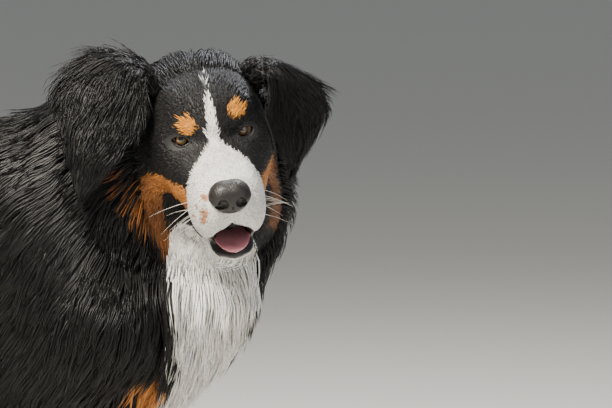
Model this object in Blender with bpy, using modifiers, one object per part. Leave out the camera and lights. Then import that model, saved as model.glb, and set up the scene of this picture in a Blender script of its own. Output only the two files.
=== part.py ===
"""A life-size Bernese mountain dog: a grown male that stands on four legs and looks round to its right.

Metres, +Z up, the dog faces +X and its left side is +Y. The flesh is one smooth body, blended from balls
and tapered bones whose sizes are named below. Flat, tapered locks of coat are laid on it along the lie of
the hair and fused with it, and thin cuts then part it into head, jaw, neck, torso, legs, paws and tail.
"""

import math
import random

import bmesh
import bpy
import numpy as np
from mathutils import Matrix, Vector
from mathutils.bvhtree import BVHTree

# Driving dimensions of the dog, in metres, taken on the skin.
WITHERS_HEIGHT = 0.640
RIB_HALF_WIDTH = 0.128
LEG_SPREAD = 0.096
ELBOW_HEIGHT = 0.345

# The head: where the middle between the eyes is, and how the head is turned from the dog's own heading.
EYES_MIDDLE = Vector((0.270, -0.090, 0.660))
HEAD_YAW = math.radians(-59.2)
HEAD_PITCH = math.radians(16.4)
HEAD_ROLL = math.radians(8.7)
EYE_SPACING = 0.070
EYE_RADIUS = 0.0115

GAP = 0.0003
SEED = 11

# How coarse the faceted solids are: faces of the head and of the rest before the locks are fused on.
HEAD_FACES = 900
BODY_FACES = 1350
VOXEL = 0.0065


def head_turn():
    """The head's own axes in the dog's: nose along +X, left ear along +Y, crown along +Z."""
    yaw = Matrix.Rotation(HEAD_YAW, 4, "Z")
    pitch = Matrix.Rotation(HEAD_PITCH, 4, "Y")
    roll = Matrix.Rotation(HEAD_ROLL, 4, "X")
    return Matrix.Translation(EYES_MIDDLE) @ yaw @ pitch @ roll


HEAD = head_turn()
HEAD_BACK = np.array(HEAD.inverted())


def to_head(points):
    """Points of the dog's frame as points of the head's own frame."""
    return points @ HEAD_BACK[:3, :3].T + HEAD_BACK[:3, 3]


# The two kinds of form that the flesh is blended from, as signed distances.
def ball(points, centre, radii, tilt=0.0):
    """An ellipsoid whose first axis is pitched down by tilt degrees about Y."""
    p = points - np.array(centre)
    if tilt:
        c, s = math.cos(math.radians(tilt)), math.sin(math.radians(tilt))
        p = np.stack([c * p[:, 0] - s * p[:, 2], p[:, 1], s * p[:, 0] + c * p[:, 2]], 1)
    r = np.array(radii)
    near = np.linalg.norm(p / r, axis=1)
    slope = np.linalg.norm(p / (r * r), axis=1) + 1e-9
    return near * (near - 1.0) / slope


def bone(points, start, end, start_radius, end_radius, flat=1.0):
    """A tapered rod with round ends, its Y size divided by flat."""
    a, b = np.array(start), np.array(end)
    stretch = np.array([1.0, flat, 1.0])
    p, along = (points - a) * stretch, (b - a) * stretch
    t = np.clip(p @ along / (along @ along), 0.0, 1.0)
    radius = start_radius + (end_radius - start_radius) * t
    return (np.linalg.norm(p - t[:, None] * along, axis=1) - radius) / max(flat, 1.0)


def melt(first, second, reach):
    """Smooth union of two distances, blended over reach metres."""
    h = np.clip(0.5 + 0.5 * (second - first) / reach, 0.0, 1.0)
    return second * (1.0 - h) + first * h - reach * h * (1.0 - h)


def carve(first, second, reach):
    """first with second taken out of it, its rim rounded over reach metres."""
    return -melt(-first, second, reach)


def mirrored(points):
    """The same points folded onto the left side."""
    return points * np.array([1.0, 0.0, 1.0]) + np.abs(points) * np.array([0.0, 1.0, 0.0])


# The head in its own frame, in metres, with the origin midway between the eyes.
HEAD_FORMS = [
    # kind, place, size, blend; a ball has radii and tilt, a bone its end, two radii and flatness
    (ball, (-0.072, 0.0, 0.008), ((0.078, 0.064, 0.056), 0), 0.020),
    (ball, (-0.029, 0.022, 0.021), ((0.031, 0.029, 0.028), 15), 0.024),
    (ball, (-0.014, 0.0, 0.010), ((0.026, 0.020, 0.028), 30), 0.018),
    (ball, (-0.019, 0.032, 0.000), ((0.016, 0.021, 0.018), 0), 0.014),
    (ball, (-0.008, 0.034, -0.026), ((0.024, 0.025, 0.022), 0), 0.016),
    (ball, (-0.048, 0.046, -0.026), ((0.050, 0.025, 0.038), 10), 0.022),
    (ball, (-0.062, 0.042, -0.052), ((0.048, 0.028, 0.038), 25), 0.024),
    (bone, (-0.010, 0.0, -0.026), ((0.077, 0.0, -0.038), 0.031, 0.025, 0.80), 0.014),
    (ball, (0.010, 0.031, -0.044), ((0.042, 0.025, 0.034), 12), 0.018),
    (ball, (0.058, 0.0215, -0.058), ((0.042, 0.0225, 0.038), 8), 0.012),
    (ball, (0.080, 0.015, -0.059), ((0.022, 0.018, 0.025), 0), 0.010),
    (bone, (-0.070, 0.0, -0.070), ((-0.115, 0.0, -0.035), 0.046, 0.062, 1.0), 0.030),
]
JAW_FORMS = [
    (bone, (-0.045, 0.024, -0.080), ((0.056, 0.009, -0.108), 0.028, 0.0130, 1.0), 0.016),
    (ball, (0.070, 0.0, -0.1070), ((0.024, 0.0245, 0.0105), 12), 0.010),
    (bone, (-0.050, 0.0, -0.084), ((0.030, 0.0, -0.103), 0.032, 0.018, 1.0), 0.018),
]
# The open mouth between the flews and the jaw: a wedge that is widest at the lips.
MOUTH_FORMS = [
    (bone, (0.020, 0.0, -0.083), ((0.118, 0.0, -0.088), 0.008, 0.0165, 0.66), 0.004),
    (bone, (0.026, 0.050, -0.066), ((0.060, 0.046, -0.092), 0.0075, 0.0045, 1.0), 0.006),
]

# The body below the head, in the dog's frame. Mirrored forms stand for both sides.
FORE_PAW = (0.088, LEG_SPREAD, 0.0275)
HIND_PAW = (-0.455, LEG_SPREAD, 0.0270)
TRUNK_FORMS = [
    (ball, (-0.060, 0.0, 0.476), ((0.235, RIB_HALF_WIDTH, 0.162), 2), 0.030),
    (ball, (0.110, 0.0, 0.450), ((0.115, 0.098, 0.125), -12), 0.040),
    (ball, (0.045, 0.090, 0.500), ((0.085, 0.050, 0.130), -18), 0.045),
    (ball, (-0.030, 0.0, WITHERS_HEIGHT - 0.052), ((0.120, 0.062, 0.052), 0), 0.045),
    (bone, (-0.050, 0.0, 0.545), ((-0.370, 0.0, 0.548), 0.086, 0.080, 0.92), 0.050),
    (ball, (-0.255, 0.0, 0.465), ((0.170, 0.112, 0.112), -6), 0.050),
    (ball, (-0.395, 0.0, 0.532), ((0.118, 0.108, 0.092), 8), 0.045),
    (bone, (0.010, 0.0, 0.545), ((0.120, 0.004, 0.608), 0.112, 0.100, 1.0), 0.050),
    (bone, (0.120, 0.004, 0.608), ((0.205, 0.008, 0.658), 0.098, 0.074, 1.0), 0.040),
]
# The mane's underwool, which opens on the left as the head turns right: behind the far cheek, and the bib.
MANE_FORMS = [
    (ball, (0.255, 0.014, 0.590), ((0.049, 0.043, 0.064), 0), 0.030),
    (ball, (0.204, 0.022, 0.502), ((0.059, 0.055, 0.098), 0), 0.040),
]
THIGH_FORMS = [
    (ball, (-0.405, 0.086, 0.440), ((0.105, 0.052, 0.135), 22), 0.040),
    (bone, (-0.345, 0.100, 0.385), ((-0.490, 0.094, 0.215), 0.060, 0.027, 1.0), 0.030),
    (bone, (-0.498, 0.094, 0.205), ((-0.512, 0.095, 0.175), 0.026, 0.024, 1.0), 0.012),
    (bone, (-0.512, 0.095, 0.178), ((-0.492, LEG_SPREAD, 0.055), 0.0235, 0.0245, 1.0), 0.012),
]
FORELEG_FORMS = [
    (bone, (0.130, 0.092, 0.440), ((0.020, 0.102, ELBOW_HEIGHT), 0.052, 0.046, 1.0), 0.035),
    (bone, (0.020, 0.098, ELBOW_HEIGHT), ((0.050, LEG_SPREAD, 0.140), 0.044, 0.028, 1.0), 0.025),
    (bone, (0.050, LEG_SPREAD, 0.145), ((0.066, LEG_SPREAD, 0.050), 0.030, 0.027, 1.0), 0.014),
]
TAIL_BONES = [
    (-0.465, 0.000, 0.570, 0.038),
    (-0.556, 0.004, 0.536, 0.031),
    (-0.598, 0.010, 0.460, 0.026),
    (-0.615, 0.020, 0.365, 0.021),
    (-0.634, 0.032, 0.275, 0.015),
    (-0.668, 0.044, 0.222, 0.010),
]
TOE_SPREAD = (-0.030, -0.0105, 0.0105, 0.030)
TOE_REACH = (0.016, 0.034, 0.034, 0.016)


def forms_field(points, forms, start=None):
    """The blend of a list of forms."""
    distance = start
    for kind, place, size, reach in forms:
        found = kind(points, place, *size)
        distance = found if distance is None else melt(distance, found, reach)
    return distance


def paw_field(points, paw):
    """A cat-like paw: the pad and the four arched toes."""
    x, y, z = paw
    distance = ball(points, (x - 0.010, y, z + 0.004), (0.044, 0.034, 0.034))
    for across, ahead in zip(TOE_SPREAD, TOE_REACH):
        toe = (x + ahead, y + across, z - 0.007)
        distance = melt(distance, ball(points, toe, (0.026, 0.0135, 0.0225), 18), 0.007)
    return distance


def tail_field(points):
    distance = None
    for (*near, near_radius), (*far, far_radius) in zip(TAIL_BONES, TAIL_BONES[1:]):
        length = bone(points, near, far, near_radius, far_radius)
        distance = length if distance is None else melt(distance, length, 0.020)
    return distance


def skin_field(points):
    """Signed distance to the dog's skin, for points of the dog's frame."""
    side = mirrored(points)
    distance = forms_field(side, TRUNK_FORMS[:-2])
    distance = forms_field(points, TRUNK_FORMS[-2:] + MANE_FORMS, distance)
    distance = forms_field(side, FORELEG_FORMS, distance)
    distance = forms_field(side, THIGH_FORMS, distance)
    distance = melt(distance, paw_field(side, FORE_PAW), 0.014)
    distance = melt(distance, paw_field(side, HIND_PAW), 0.014)
    distance = melt(distance, tail_field(points), 0.030)
    own = mirrored(to_head(points))
    head = forms_field(own, HEAD_FORMS)
    jaw = forms_field(own, JAW_FORMS)
    head = melt(head, jaw, 0.014)
    distance = melt(distance, head, 0.030)
    return carve(distance, forms_field(own, MOUTH_FORMS), 0.005)


# How deep the soft part of the coat is: place, depth there in metres, and how far that reaches.
COAT_DEPTHS = [
    ((-0.10, 0.10, 0.56), 0.014, 0.16),
    ((-0.30, 0.10, 0.54), 0.014, 0.14),
    ((-0.42, 0.10, 0.50), 0.016, 0.12),
    ((-0.15, 0.09, 0.38), 0.016, 0.14),
    ((0.10, 0.06, 0.62), 0.020, 0.14),
    ((0.19, 0.04, 0.50), 0.024, 0.12),
    ((0.12, 0.03, 0.38), 0.022, 0.12),
    ((-0.47, 0.06, 0.42), 0.018, 0.09),
    ((0.05, 0.096, 0.20), 0.004, 0.10),
    ((0.08, 0.096, 0.04), 0.002, 0.07),
    ((-0.49, 0.096, 0.14), 0.004, 0.08),
    ((-0.45, 0.096, 0.03), 0.002, 0.07),
    ((-0.59, 0.02, 0.35), 0.020, 0.12),
]
HEAD_COAT_DEPTHS = [
    ((0.085, 0.020, -0.050), 0.0012, 0.050),
    ((0.040, 0.020, -0.010), 0.0015, 0.040),
    ((0.000, 0.038, 0.000), 0.0008, 0.030),
    ((-0.030, 0.020, 0.050), 0.004, 0.045),
    ((-0.090, 0.020, 0.055), 0.007, 0.055),
    ((-0.045, 0.070, -0.030), 0.008, 0.045),
    ((-0.090, 0.070, -0.050), 0.015, 0.055),
    ((-0.060, 0.020, -0.110), 0.012, 0.055),
    ((0.060, 0.010, -0.115), 0.0012, 0.040),
]


def weighted(points, guides):
    """Mean of the guides' values at each point, the near ones counting most."""
    total, weight = 0.0, 1e-12
    for place, value, reach in guides:
        far = np.linalg.norm(points - np.array(place), axis=1) / reach
        near = 1.0 / (far**4 + 1e-4)
        total = total + near[:, None] * np.atleast_1d(value)
        weight = weight + near
    return total / np.reshape(weight, (-1, 1))


def head_share(points):
    """1 on the head, 0 on the body, with a soft change at the back of the skull."""
    own = to_head(points)
    far = np.linalg.norm(own - np.array((-0.03, 0.0, -0.02)), axis=1)
    return np.clip((0.175 - far) / 0.050, 0.0, 1.0)


def core_depth(points):
    """Depth of the solid core of the coat over the skin."""
    body = weighted(mirrored(points), COAT_DEPTHS)[:, 0]
    head = weighted(mirrored(to_head(points)), HEAD_COAT_DEPTHS)[:, 0]
    share = head_share(points)
    return head * share + body * (1.0 - share)


def core_field(points):
    return skin_field(points) - core_depth(points)


def slope(field, points, step=0.0004):
    """Direction in which the field grows fastest, one unit long."""
    ways = [(np.eye(3)[i] * step) for i in range(3)]
    found = np.stack([field(points + w) - field(points - w) for w in ways], 1)
    return found / (np.linalg.norm(found, axis=1, keepdims=True) + 1e-12)


def settle(points, field, rounds=4):
    """Moves points onto the surface where the field is zero."""
    for _ in range(rounds):
        way = slope(field, points)
        points = points - way * np.clip(field(points), -0.01, 0.01)[:, None]
    return points


# The lie of the coat: place, the way the hair runs there, and how far that reaches.
COMB = [
    ((0.02, 0.09, 0.62), (-0.75, 0.35, -0.55), 0.10),
    ((-0.10, 0.00, 0.635), (-1.0, 0.10, -0.05), 0.12),
    ((-0.30, 0.00, 0.62), (-1.0, 0.10, -0.02), 0.12),
    ((-0.45, 0.00, 0.60), (-1.0, 0.10, -0.4), 0.08),
    ((-0.10, 0.13, 0.50), (-0.7, 0.05, -0.7), 0.12),
    ((-0.28, 0.12, 0.50), (-0.75, 0.0, -0.6), 0.12),
    ((-0.20, 0.08, 0.36), (-0.55, 0.0, -0.8), 0.10),
    ((-0.10, 0.00, 0.32), (-0.8, 0.0, -0.6), 0.10),
    ((0.22, 0.00, 0.45), (-0.1, 0.0, -1.0), 0.08),
    ((0.15, 0.10, 0.45), (-0.3, 0.1, -0.95), 0.08),
    ((0.04, 0.13, 0.50), (-0.5, 0.05, -0.85), 0.10),
    ((0.17, 0.03, 0.35), (-0.3, 0.0, -0.95), 0.07),
    ((0.18, 0.08, 0.60), (-0.45, 0.25, -0.85), 0.08),
    ((0.22, 0.00, 0.55), (-0.1, 0.0, -1.0), 0.07),
    ((-0.42, 0.13, 0.48), (-0.5, 0.0, -0.85), 0.09),
    ((-0.50, 0.08, 0.45), (-0.65, 0.1, -0.75), 0.08),
    ((-0.35, 0.14, 0.38), (-0.4, 0.0, -0.9), 0.08),
    ((0.03, 0.13, 0.25), (-0.35, 0.0, -0.95), 0.10),
    ((-0.50, 0.12, 0.20), (-0.2, 0.0, -0.97), 0.10),
    ((-0.556, 0.00, 0.54), (-0.6, 0.0, -0.8), 0.05),
    ((-0.60, 0.01, 0.46), (-0.35, 0.1, -0.95), 0.06),
    ((-0.62, 0.02, 0.36), (-0.2, 0.15, -1.0), 0.06),
    ((-0.64, 0.03, 0.27), (-0.4, 0.15, -0.9), 0.05),
]
HEAD_COMB = [
    ((0.060, 0.000, 0.000), (-1.0, 0.05, 0.1), 0.04),
    ((0.000, 0.000, 0.030), (-0.9, 0.1, 0.45), 0.03),
    ((-0.040, 0.020, 0.060), (-1.0, 0.25, 0.1), 0.04),
    ((-0.100, 0.020, 0.060), (-1.0, 0.2, -0.2), 0.05),
    ((-0.030, 0.050, 0.030), (-0.9, 0.5, 0.1), 0.03),
    ((0.000, 0.050, -0.030), (-0.8, 0.35, -0.5), 0.03),
    ((-0.050, 0.075, -0.030), (-0.85, 0.2, -0.5), 0.05),
    ((-0.060, 0.060, -0.080), (-0.8, 0.2, -0.65), 0.05),
    ((0.060, 0.045, -0.050), (-0.7, 0.15, -0.65), 0.04),
    ((0.090, 0.020, -0.060), (-0.3, 0.6, -0.75), 0.02),
    ((0.080, 0.000, -0.120), (-0.8, 0.0, -0.5), 0.03),
    ((-0.050, 0.000, -0.120), (-0.9, 0.0, -0.3), 0.05),
]


def coat_way(points, normals):
    """Direction of the hair at points of the surface, along the skin."""
    hand = np.stack([np.ones(len(points)), np.sign(points[:, 1]), np.ones(len(points))], 1)
    body = weighted(mirrored(points), COMB) * hand
    own = to_head(points)
    hand = np.stack([np.ones(len(own)), np.sign(own[:, 1]), np.ones(len(own))], 1)
    head = (weighted(mirrored(own), HEAD_COMB) * hand) @ np.array(HEAD)[:3, :3].T
    share = head_share(points)[:, None]
    way = head * share + body * (1.0 - share)
    way -= normals * (way * normals).sum(axis=1, keepdims=True)
    return way / (np.linalg.norm(way, axis=1, keepdims=True) + 1e-9)


# Making meshes.
PARTS = bpy.data.collections.new("bernese_mountain_dog")
GUIDES = bpy.data.collections.new("cutters")


def clear_scene():
    for obj in list(bpy.data.objects):
        bpy.data.objects.remove(obj, do_unlink=True)
    bpy.context.scene.collection.children.link(PARTS)
    bpy.context.scene.collection.children.link(GUIDES)


def new_object(name, mesh, collection=None):
    obj = bpy.data.objects.new(name, mesh)
    (collection or GUIDES).objects.link(obj)
    return obj


def mesh_of(name, vertices, faces):
    mesh = bpy.data.meshes.new(name)
    mesh.from_pydata([tuple(v) for v in vertices], [], faces)
    mesh.update()
    return mesh


def places(mesh):
    found = np.empty(len(mesh.vertices) * 3)
    mesh.vertices.foreach_get("co", found)
    return found.reshape(-1, 3)


def applied(obj):
    """Applies an object's modifiers."""
    bpy.context.view_layer.update()
    graph = bpy.context.evaluated_depsgraph_get()
    mesh = bpy.data.meshes.new_from_object(obj.evaluated_get(graph))
    obj.modifiers.clear()
    obj.data = mesh
    return obj


def beads(form_list, own_frame=None, both_sides=True):
    """Overlapping round primitives that fill each form, for the voxel remesh to start from."""
    found = []
    for kind, place, size, _ in form_list:
        sides = (1, -1) if both_sides and abs(place[1]) > 1e-6 else (1,)
        for hand in sides:
            if kind is ball:
                radii, tilt = size if len(size) > 1 else (size[0], 0)
                turn = Matrix.Rotation(math.radians(tilt), 4, "Y")
                centre = Vector((place[0], place[1] * hand, place[2]))
                shape = Matrix.Translation(centre) @ turn @ Matrix.Diagonal((*radii, 1.0))
                found.append(shape if own_frame is None else own_frame @ shape)
                continue
            end, start_radius, end_radius, flat = size
            for t in np.linspace(0.0, 1.0, 9):
                centre = Vector(place).lerp(Vector(end), t)
                centre.y *= hand
                r = start_radius + (end_radius - start_radius) * t
                shape = Matrix.Translation(centre) @ Matrix.Diagonal((r, r / flat, r, 1.0))
                found.append(shape if own_frame is None else own_frame @ shape)
    return found


def flesh():
    """The whole dog without its ears, as one closed mesh on the core of the coat."""
    shapes = beads(TRUNK_FORMS + THIGH_FORMS + FORELEG_FORMS)
    shapes += beads(MANE_FORMS, None, False)
    shapes += beads(HEAD_FORMS + JAW_FORMS, HEAD)
    for paw in (FORE_PAW, HIND_PAW):
        for hand in (1, -1):
            centre = Matrix.Translation((paw[0] + 0.006, paw[1] * hand, paw[2]))
            shapes.append(centre @ Matrix.Diagonal((0.056, 0.042, 0.032, 1.0)))
    for near, far in zip(TAIL_BONES, TAIL_BONES[1:]):
        for t in np.linspace(0.0, 1.0, 6):
            x, y, z, r = np.array(near) * (1 - t) + np.array(far) * t
            shapes.append(Matrix.Translation((x, y, z)) @ Matrix.Diagonal((r, r, r, 1.0)))
    mesh = bmesh.new()
    for shape in shapes:
        bmesh.ops.create_icosphere(mesh, subdivisions=2, radius=1.05, matrix=shape)
    data = bpy.data.meshes.new("flesh")
    mesh.to_mesh(data)
    mesh.free()
    obj = new_object("flesh", data)
    remesh = obj.modifiers.new("voxels", "REMESH")
    remesh.mode = "VOXEL"
    remesh.voxel_size = VOXEL
    applied(obj)
    refine_head(obj)
    obj.data.vertices.foreach_set("co", settle(places(obj.data), core_field).ravel())
    relax(obj, 2)
    return obj


def refine_head(obj):
    """Splits the faces of the face and muzzle once, so that the mouth, brow and lips have enough points."""
    mesh = bmesh.new()
    mesh.from_mesh(obj.data)
    mesh.verts.ensure_lookup_table()
    own = to_head(np.array([v.co for v in mesh.verts]))
    near = np.linalg.norm((own - np.array((0.02, 0.0, -0.04))) / np.array((1.0, 1.0, 1.0)), axis=1)
    edges = [e for e in mesh.edges if all(near[v.index] < 0.115 for v in e.verts)]
    bmesh.ops.subdivide_edges(mesh, edges=edges, cuts=1, use_grid_fill=True)
    bmesh.ops.triangulate(mesh, faces=mesh.faces)
    mesh.to_mesh(obj.data)
    mesh.free()


def relax(obj, rounds):
    """Evens out the points and puts them back on the core surface."""
    for _ in range(rounds):
        mesh = bmesh.new()
        mesh.from_mesh(obj.data)
        bmesh.ops.smooth_vert(
            mesh, verts=mesh.verts, factor=0.5, use_axis_x=True, use_axis_y=True, use_axis_z=True
        )
        mesh.to_mesh(obj.data)
        mesh.free()
        obj.data.vertices.foreach_set("co", settle(places(obj.data), core_field, 2).ravel())
    obj.data.update()


def thin_out(obj, weight, faces_wanted):
    """Collapses edges where weight is over one half, until that region has about faces_wanted triangles."""
    index = np.array([p.vertices[:] for p in obj.data.polygons])
    inside = int((weight[index].min(axis=1) > 0.5).sum())
    group = obj.vertex_groups.new(name="thin")
    group.add(np.flatnonzero(weight > 0.5).tolist(), 1.0, "REPLACE")
    total = len(obj.data.polygons)
    modifier = obj.modifiers.new("fewer", "DECIMATE")
    modifier.ratio = max(0.001, (total - inside + faces_wanted) / total)
    modifier.vertex_group = "thin"
    applied(obj)
    obj.vertex_groups.clear()


def helper(name, mesh):
    """A closed mesh that only joins or cuts another."""
    obj = new_object(name, mesh)
    obj.hide_render = True
    obj.display_type = "WIRE"
    return obj


def combine(obj, others, operation):
    """Joins or cuts obj with a list of closed helpers in one Boolean, and drops them."""
    group = bpy.data.collections.new(operation)
    GUIDES.children.link(group)
    group.hide_render = True
    for other in others:
        group.objects.link(other)
    boolean = obj.modifiers.new("join", "BOOLEAN")
    boolean.operation = operation
    boolean.operand_type = "COLLECTION"
    boolean.collection = group
    boolean.solver = "MANIFOLD"
    applied(obj)
    for other in others:
        bpy.data.objects.remove(other, do_unlink=True)
    bpy.data.collections.remove(group)
    return obj


def grown(obj, name, by=GAP):
    """A copy of a closed solid, larger by the gap on every side."""
    mesh = obj.data.copy()
    mesh.update()
    away = np.empty(len(mesh.vertices) * 3)
    mesh.vertex_normals.foreach_get("vector", away)
    mesh.vertices.foreach_set("co", (places(mesh) + away.reshape(-1, 3) * by).ravel())
    mesh.update()
    return helper(name, mesh)


def round_solid(name, centre, radii, frame=None, segments=18, rings=12, square=1.0):
    """An ellipsoid, boxier where square is under one."""
    mesh = bmesh.new()
    bmesh.ops.create_uvsphere(mesh, u_segments=segments, v_segments=rings, radius=1.0)
    for vertex in mesh.verts:
        vertex.co = Vector([math.copysign(abs(c) ** square, c) for c in vertex.co])
    place = Matrix.Translation(centre) @ (frame or Matrix()) @ Matrix.Diagonal((*radii, 1.0))
    bmesh.ops.transform(mesh, matrix=place, verts=mesh.verts)
    data = bpy.data.meshes.new(name)
    mesh.to_mesh(data)
    mesh.free()
    return data


def loft(name, rings, frame=None):
    """A closed skin through rings of equally many points, with a fan over each end."""
    vertices = [p for ring in rings for p in ring]
    count = len(rings[0])
    faces = []
    for row in range(len(rings) - 1):
        for i in range(count):
            j = (i + 1) % count
            near, far = row * count, (row + 1) * count
            faces.append((near + i, near + j, far + j, far + i))
    faces.append(tuple(reversed(range(count))))
    faces.append(tuple(range((len(rings) - 1) * count, len(rings) * count)))
    if frame is not None:
        vertices = [frame @ Vector(v) for v in vertices]
    data = mesh_of(name, vertices, faces)
    mesh = bmesh.new()
    mesh.from_mesh(data)
    bmesh.ops.recalc_face_normals(mesh, faces=mesh.faces)
    bmesh.ops.triangulate(mesh, faces=mesh.faces)
    mesh.to_mesh(data)
    mesh.free()
    return data


# Locks of the coat: which part of the skin, how many, length, width, how far the tip stands off, how much
# the lock hangs free instead of lying on the body, and whether the region is told in the head's frame.
def within(low, high):
    def test(p):
        return ((p >= np.array(low)) & (p <= np.array(high))).all(axis=1)
    return test


LOCKS = [
    ("ruff", within((0.055, -0.2, 0.50), (0.31, 0.2, 0.80)), 27, 0.098, 0.035, 0.018, 0.10, False),
    ("bib", within((0.13, -0.10, 0.36), (0.32, 0.10, 0.54)), 15, 0.090, 0.033, 0.024, 0.25, False),
    ("side", within((-0.44, -0.2, 0.40), (0.07, 0.2, 0.70)), 37, 0.110, 0.040, 0.012, 0.05, False),
    ("fringe", within((-0.30, -0.10, 0.27), (0.12, 0.10, 0.36)), 16, 0.072, 0.026, 0.030, 0.60, False),
    ("breeches", within((-0.56, 0.02, 0.27), (-0.44, 0.17, 0.50)), 10, 0.080, 0.026, 0.026, 0.50, False),
    ("breeches", within((-0.56, -0.17, 0.27), (-0.44, -0.02, 0.50)), 10, 0.080, 0.026, 0.026, 0.50, False),
    ("thigh", within((-0.44, -0.2, 0.30), (-0.26, 0.2, 0.42)), 10, 0.080, 0.028, 0.010, 0.10, False),
    ("feather", within((-0.09, 0.05, 0.13), (0.035, 0.14, 0.34)), 7, 0.052, 0.018, 0.022, 0.60, False),
    ("feather", within((-0.09, -0.14, 0.13), (0.035, -0.05, 0.34)), 7, 0.052, 0.018, 0.022, 0.60, False),
    ("plume", within((-0.70, -0.1, 0.20), (-0.545, 0.14, 0.57)), 22, 0.095, 0.028, 0.032, 0.50, False),
    ("cheek", within((-0.11, 0.045, -0.12), (-0.045, 0.12, 0.01)), 6, 0.054, 0.023, 0.013, 0.20, True),
    ("cheek", within((-0.11, -0.12, -0.12), (-0.045, -0.045, 0.01)), 6, 0.054, 0.023, 0.013, 0.20, True),
]
SINK = 0.007
STATIONS = (0.0, 0.30, 0.64, 1.0)


def spread_roots(spots, count, dice):
    """Picks count of the spots, each as far as can be from those before."""
    chosen = [dice.randrange(len(spots))]
    far = np.linalg.norm(spots - spots[chosen[0]], axis=1)
    while len(chosen) < count:
        chosen.append(int(far.argmax()))
        far = np.minimum(far, np.linalg.norm(spots - spots[chosen[-1]], axis=1))
    return spots[chosen]


def lock_mesh(rings, tip):
    """One closed lock: three-cornered rings from the root on, drawn to a tip."""
    vertices = [Vector(v) for ring in rings for v in ring] + [Vector(tip)]
    faces = [(2, 1, 0)]
    for row in range(len(rings) - 1):
        for i in range(3):
            j, near, far = (i + 1) % 3, row * 3, row * 3 + 3
            faces += [(near + i, near + j, far + j), (near + i, far + j, far + i)]
    last = (len(rings) - 1) * 3
    faces += [(last + i, last + (i + 1) % 3, len(vertices) - 1) for i in range(3)]
    mesh = bmesh.new()
    made = [mesh.verts.new(v) for v in vertices]
    for face in faces:
        mesh.faces.new([made[i] for i in face])
    bmesh.ops.recalc_face_normals(mesh, faces=mesh.faces)
    if mesh.calc_volume(signed=True) < 0:
        bmesh.ops.reverse_faces(mesh, faces=mesh.faces)
    data = bpy.data.meshes.new("lock")
    mesh.to_mesh(data)
    mesh.free()
    return helper("lock", data)


def lay_locks(roots, length, width, stand, free, dice, field, lie):
    """Locks from the roots along the lie of the hair; field is the surface they lie on."""
    normals = slope(field, roots)
    ways = lie(roots, normals)
    count = len(roots)
    long = np.array([length * dice.uniform(0.82, 1.18) for _ in range(count)])[:, None]
    wide = np.array([width * dice.uniform(0.85, 1.15) for _ in range(count)])[:, None]
    veer = np.array([dice.uniform(-0.22, 0.22) for _ in range(count)])[:, None]
    ways = ways + np.cross(normals, ways) * veer
    ways /= np.linalg.norm(ways, axis=1, keepdims=True)
    rings, middle = [], None
    for t, rise, share in zip(STATIONS, (-1.0, 0.10, 0.55, 1.0), (0.62, 1.0, 0.72, 0.0)):
        height = np.full((count, 1), stand * rise if rise > 0 else -SINK)
        bend = np.cross(normals, ways) * veer * long * 0.5 * t * t
        raw = roots + ways * long * t + bend
        laid = raw.copy()
        for _ in range(3):
            up = slope(field, laid)
            laid -= up * (field(laid)[:, None] - height)
        hung = raw + normals * height + np.array((0.0, 0.0, -1.0)) * long * 0.25 * t * t
        loose = free * t
        middle = laid * (1.0 - loose) + hung * loose
        up = slope(field, middle) * (1.0 - loose) + normals * loose
        across = np.cross(ways, up)
        across /= np.linalg.norm(across, axis=1, keepdims=True)
        half = 0.5 * wide * share
        rings.append((middle - across * half, middle + up * half * 0.55, middle + across * half))
    tips = middle
    return [
        lock_mesh([[side[i] for side in ring] for ring in rings[:-1]], tips[i]) for i in range(count)
    ]


def body_locks(body):
    """Every lock of the body and head, from points spread over the coarse skin."""
    spots = spread_points(body)
    own = to_head(spots)
    on_body = head_share(spots) < 0.5
    found = []
    for index, (_, test, count, length, width, stand, free, of_head) in enumerate(LOCKS):
        dice = random.Random(SEED + index)
        chosen = test(own) if of_head else test(spots) & on_body
        roots = spread_roots(spots[chosen], count, dice)
        found += lay_locks(roots, length, width, stand, free, dice, core_field, coat_way)
    return found


def spread_points(body):
    """Points spread over the surface, several to each face."""
    corners = places(body.data)[np.array([p.vertices[:3] for p in body.data.polygons])]
    blends = [(i, j, 6 - i - j) for i in range(1, 5) for j in range(1, 6 - i)]
    return np.einsum("bk,fkc->fbc", np.array(blends) / 6.0, corners).reshape(-1, 3)


# Eyes, in the head's frame. The balls look out at whoever stands at the dog's right front.


def eye_place(hand):
    return Vector((-0.0100, 0.5 * EYE_SPACING * hand, 0.0))


def eye_axes(hand):
    """Turn that brings +Z to the middle of the opening between the lids."""
    out = Vector((0.93, 0.26 * hand, 0.18)).normalized()
    across = Vector((0.0, 0.0, 1.0)).cross(out).normalized()
    return Matrix((across, out.cross(across), out)).transposed().to_4x4()


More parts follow.
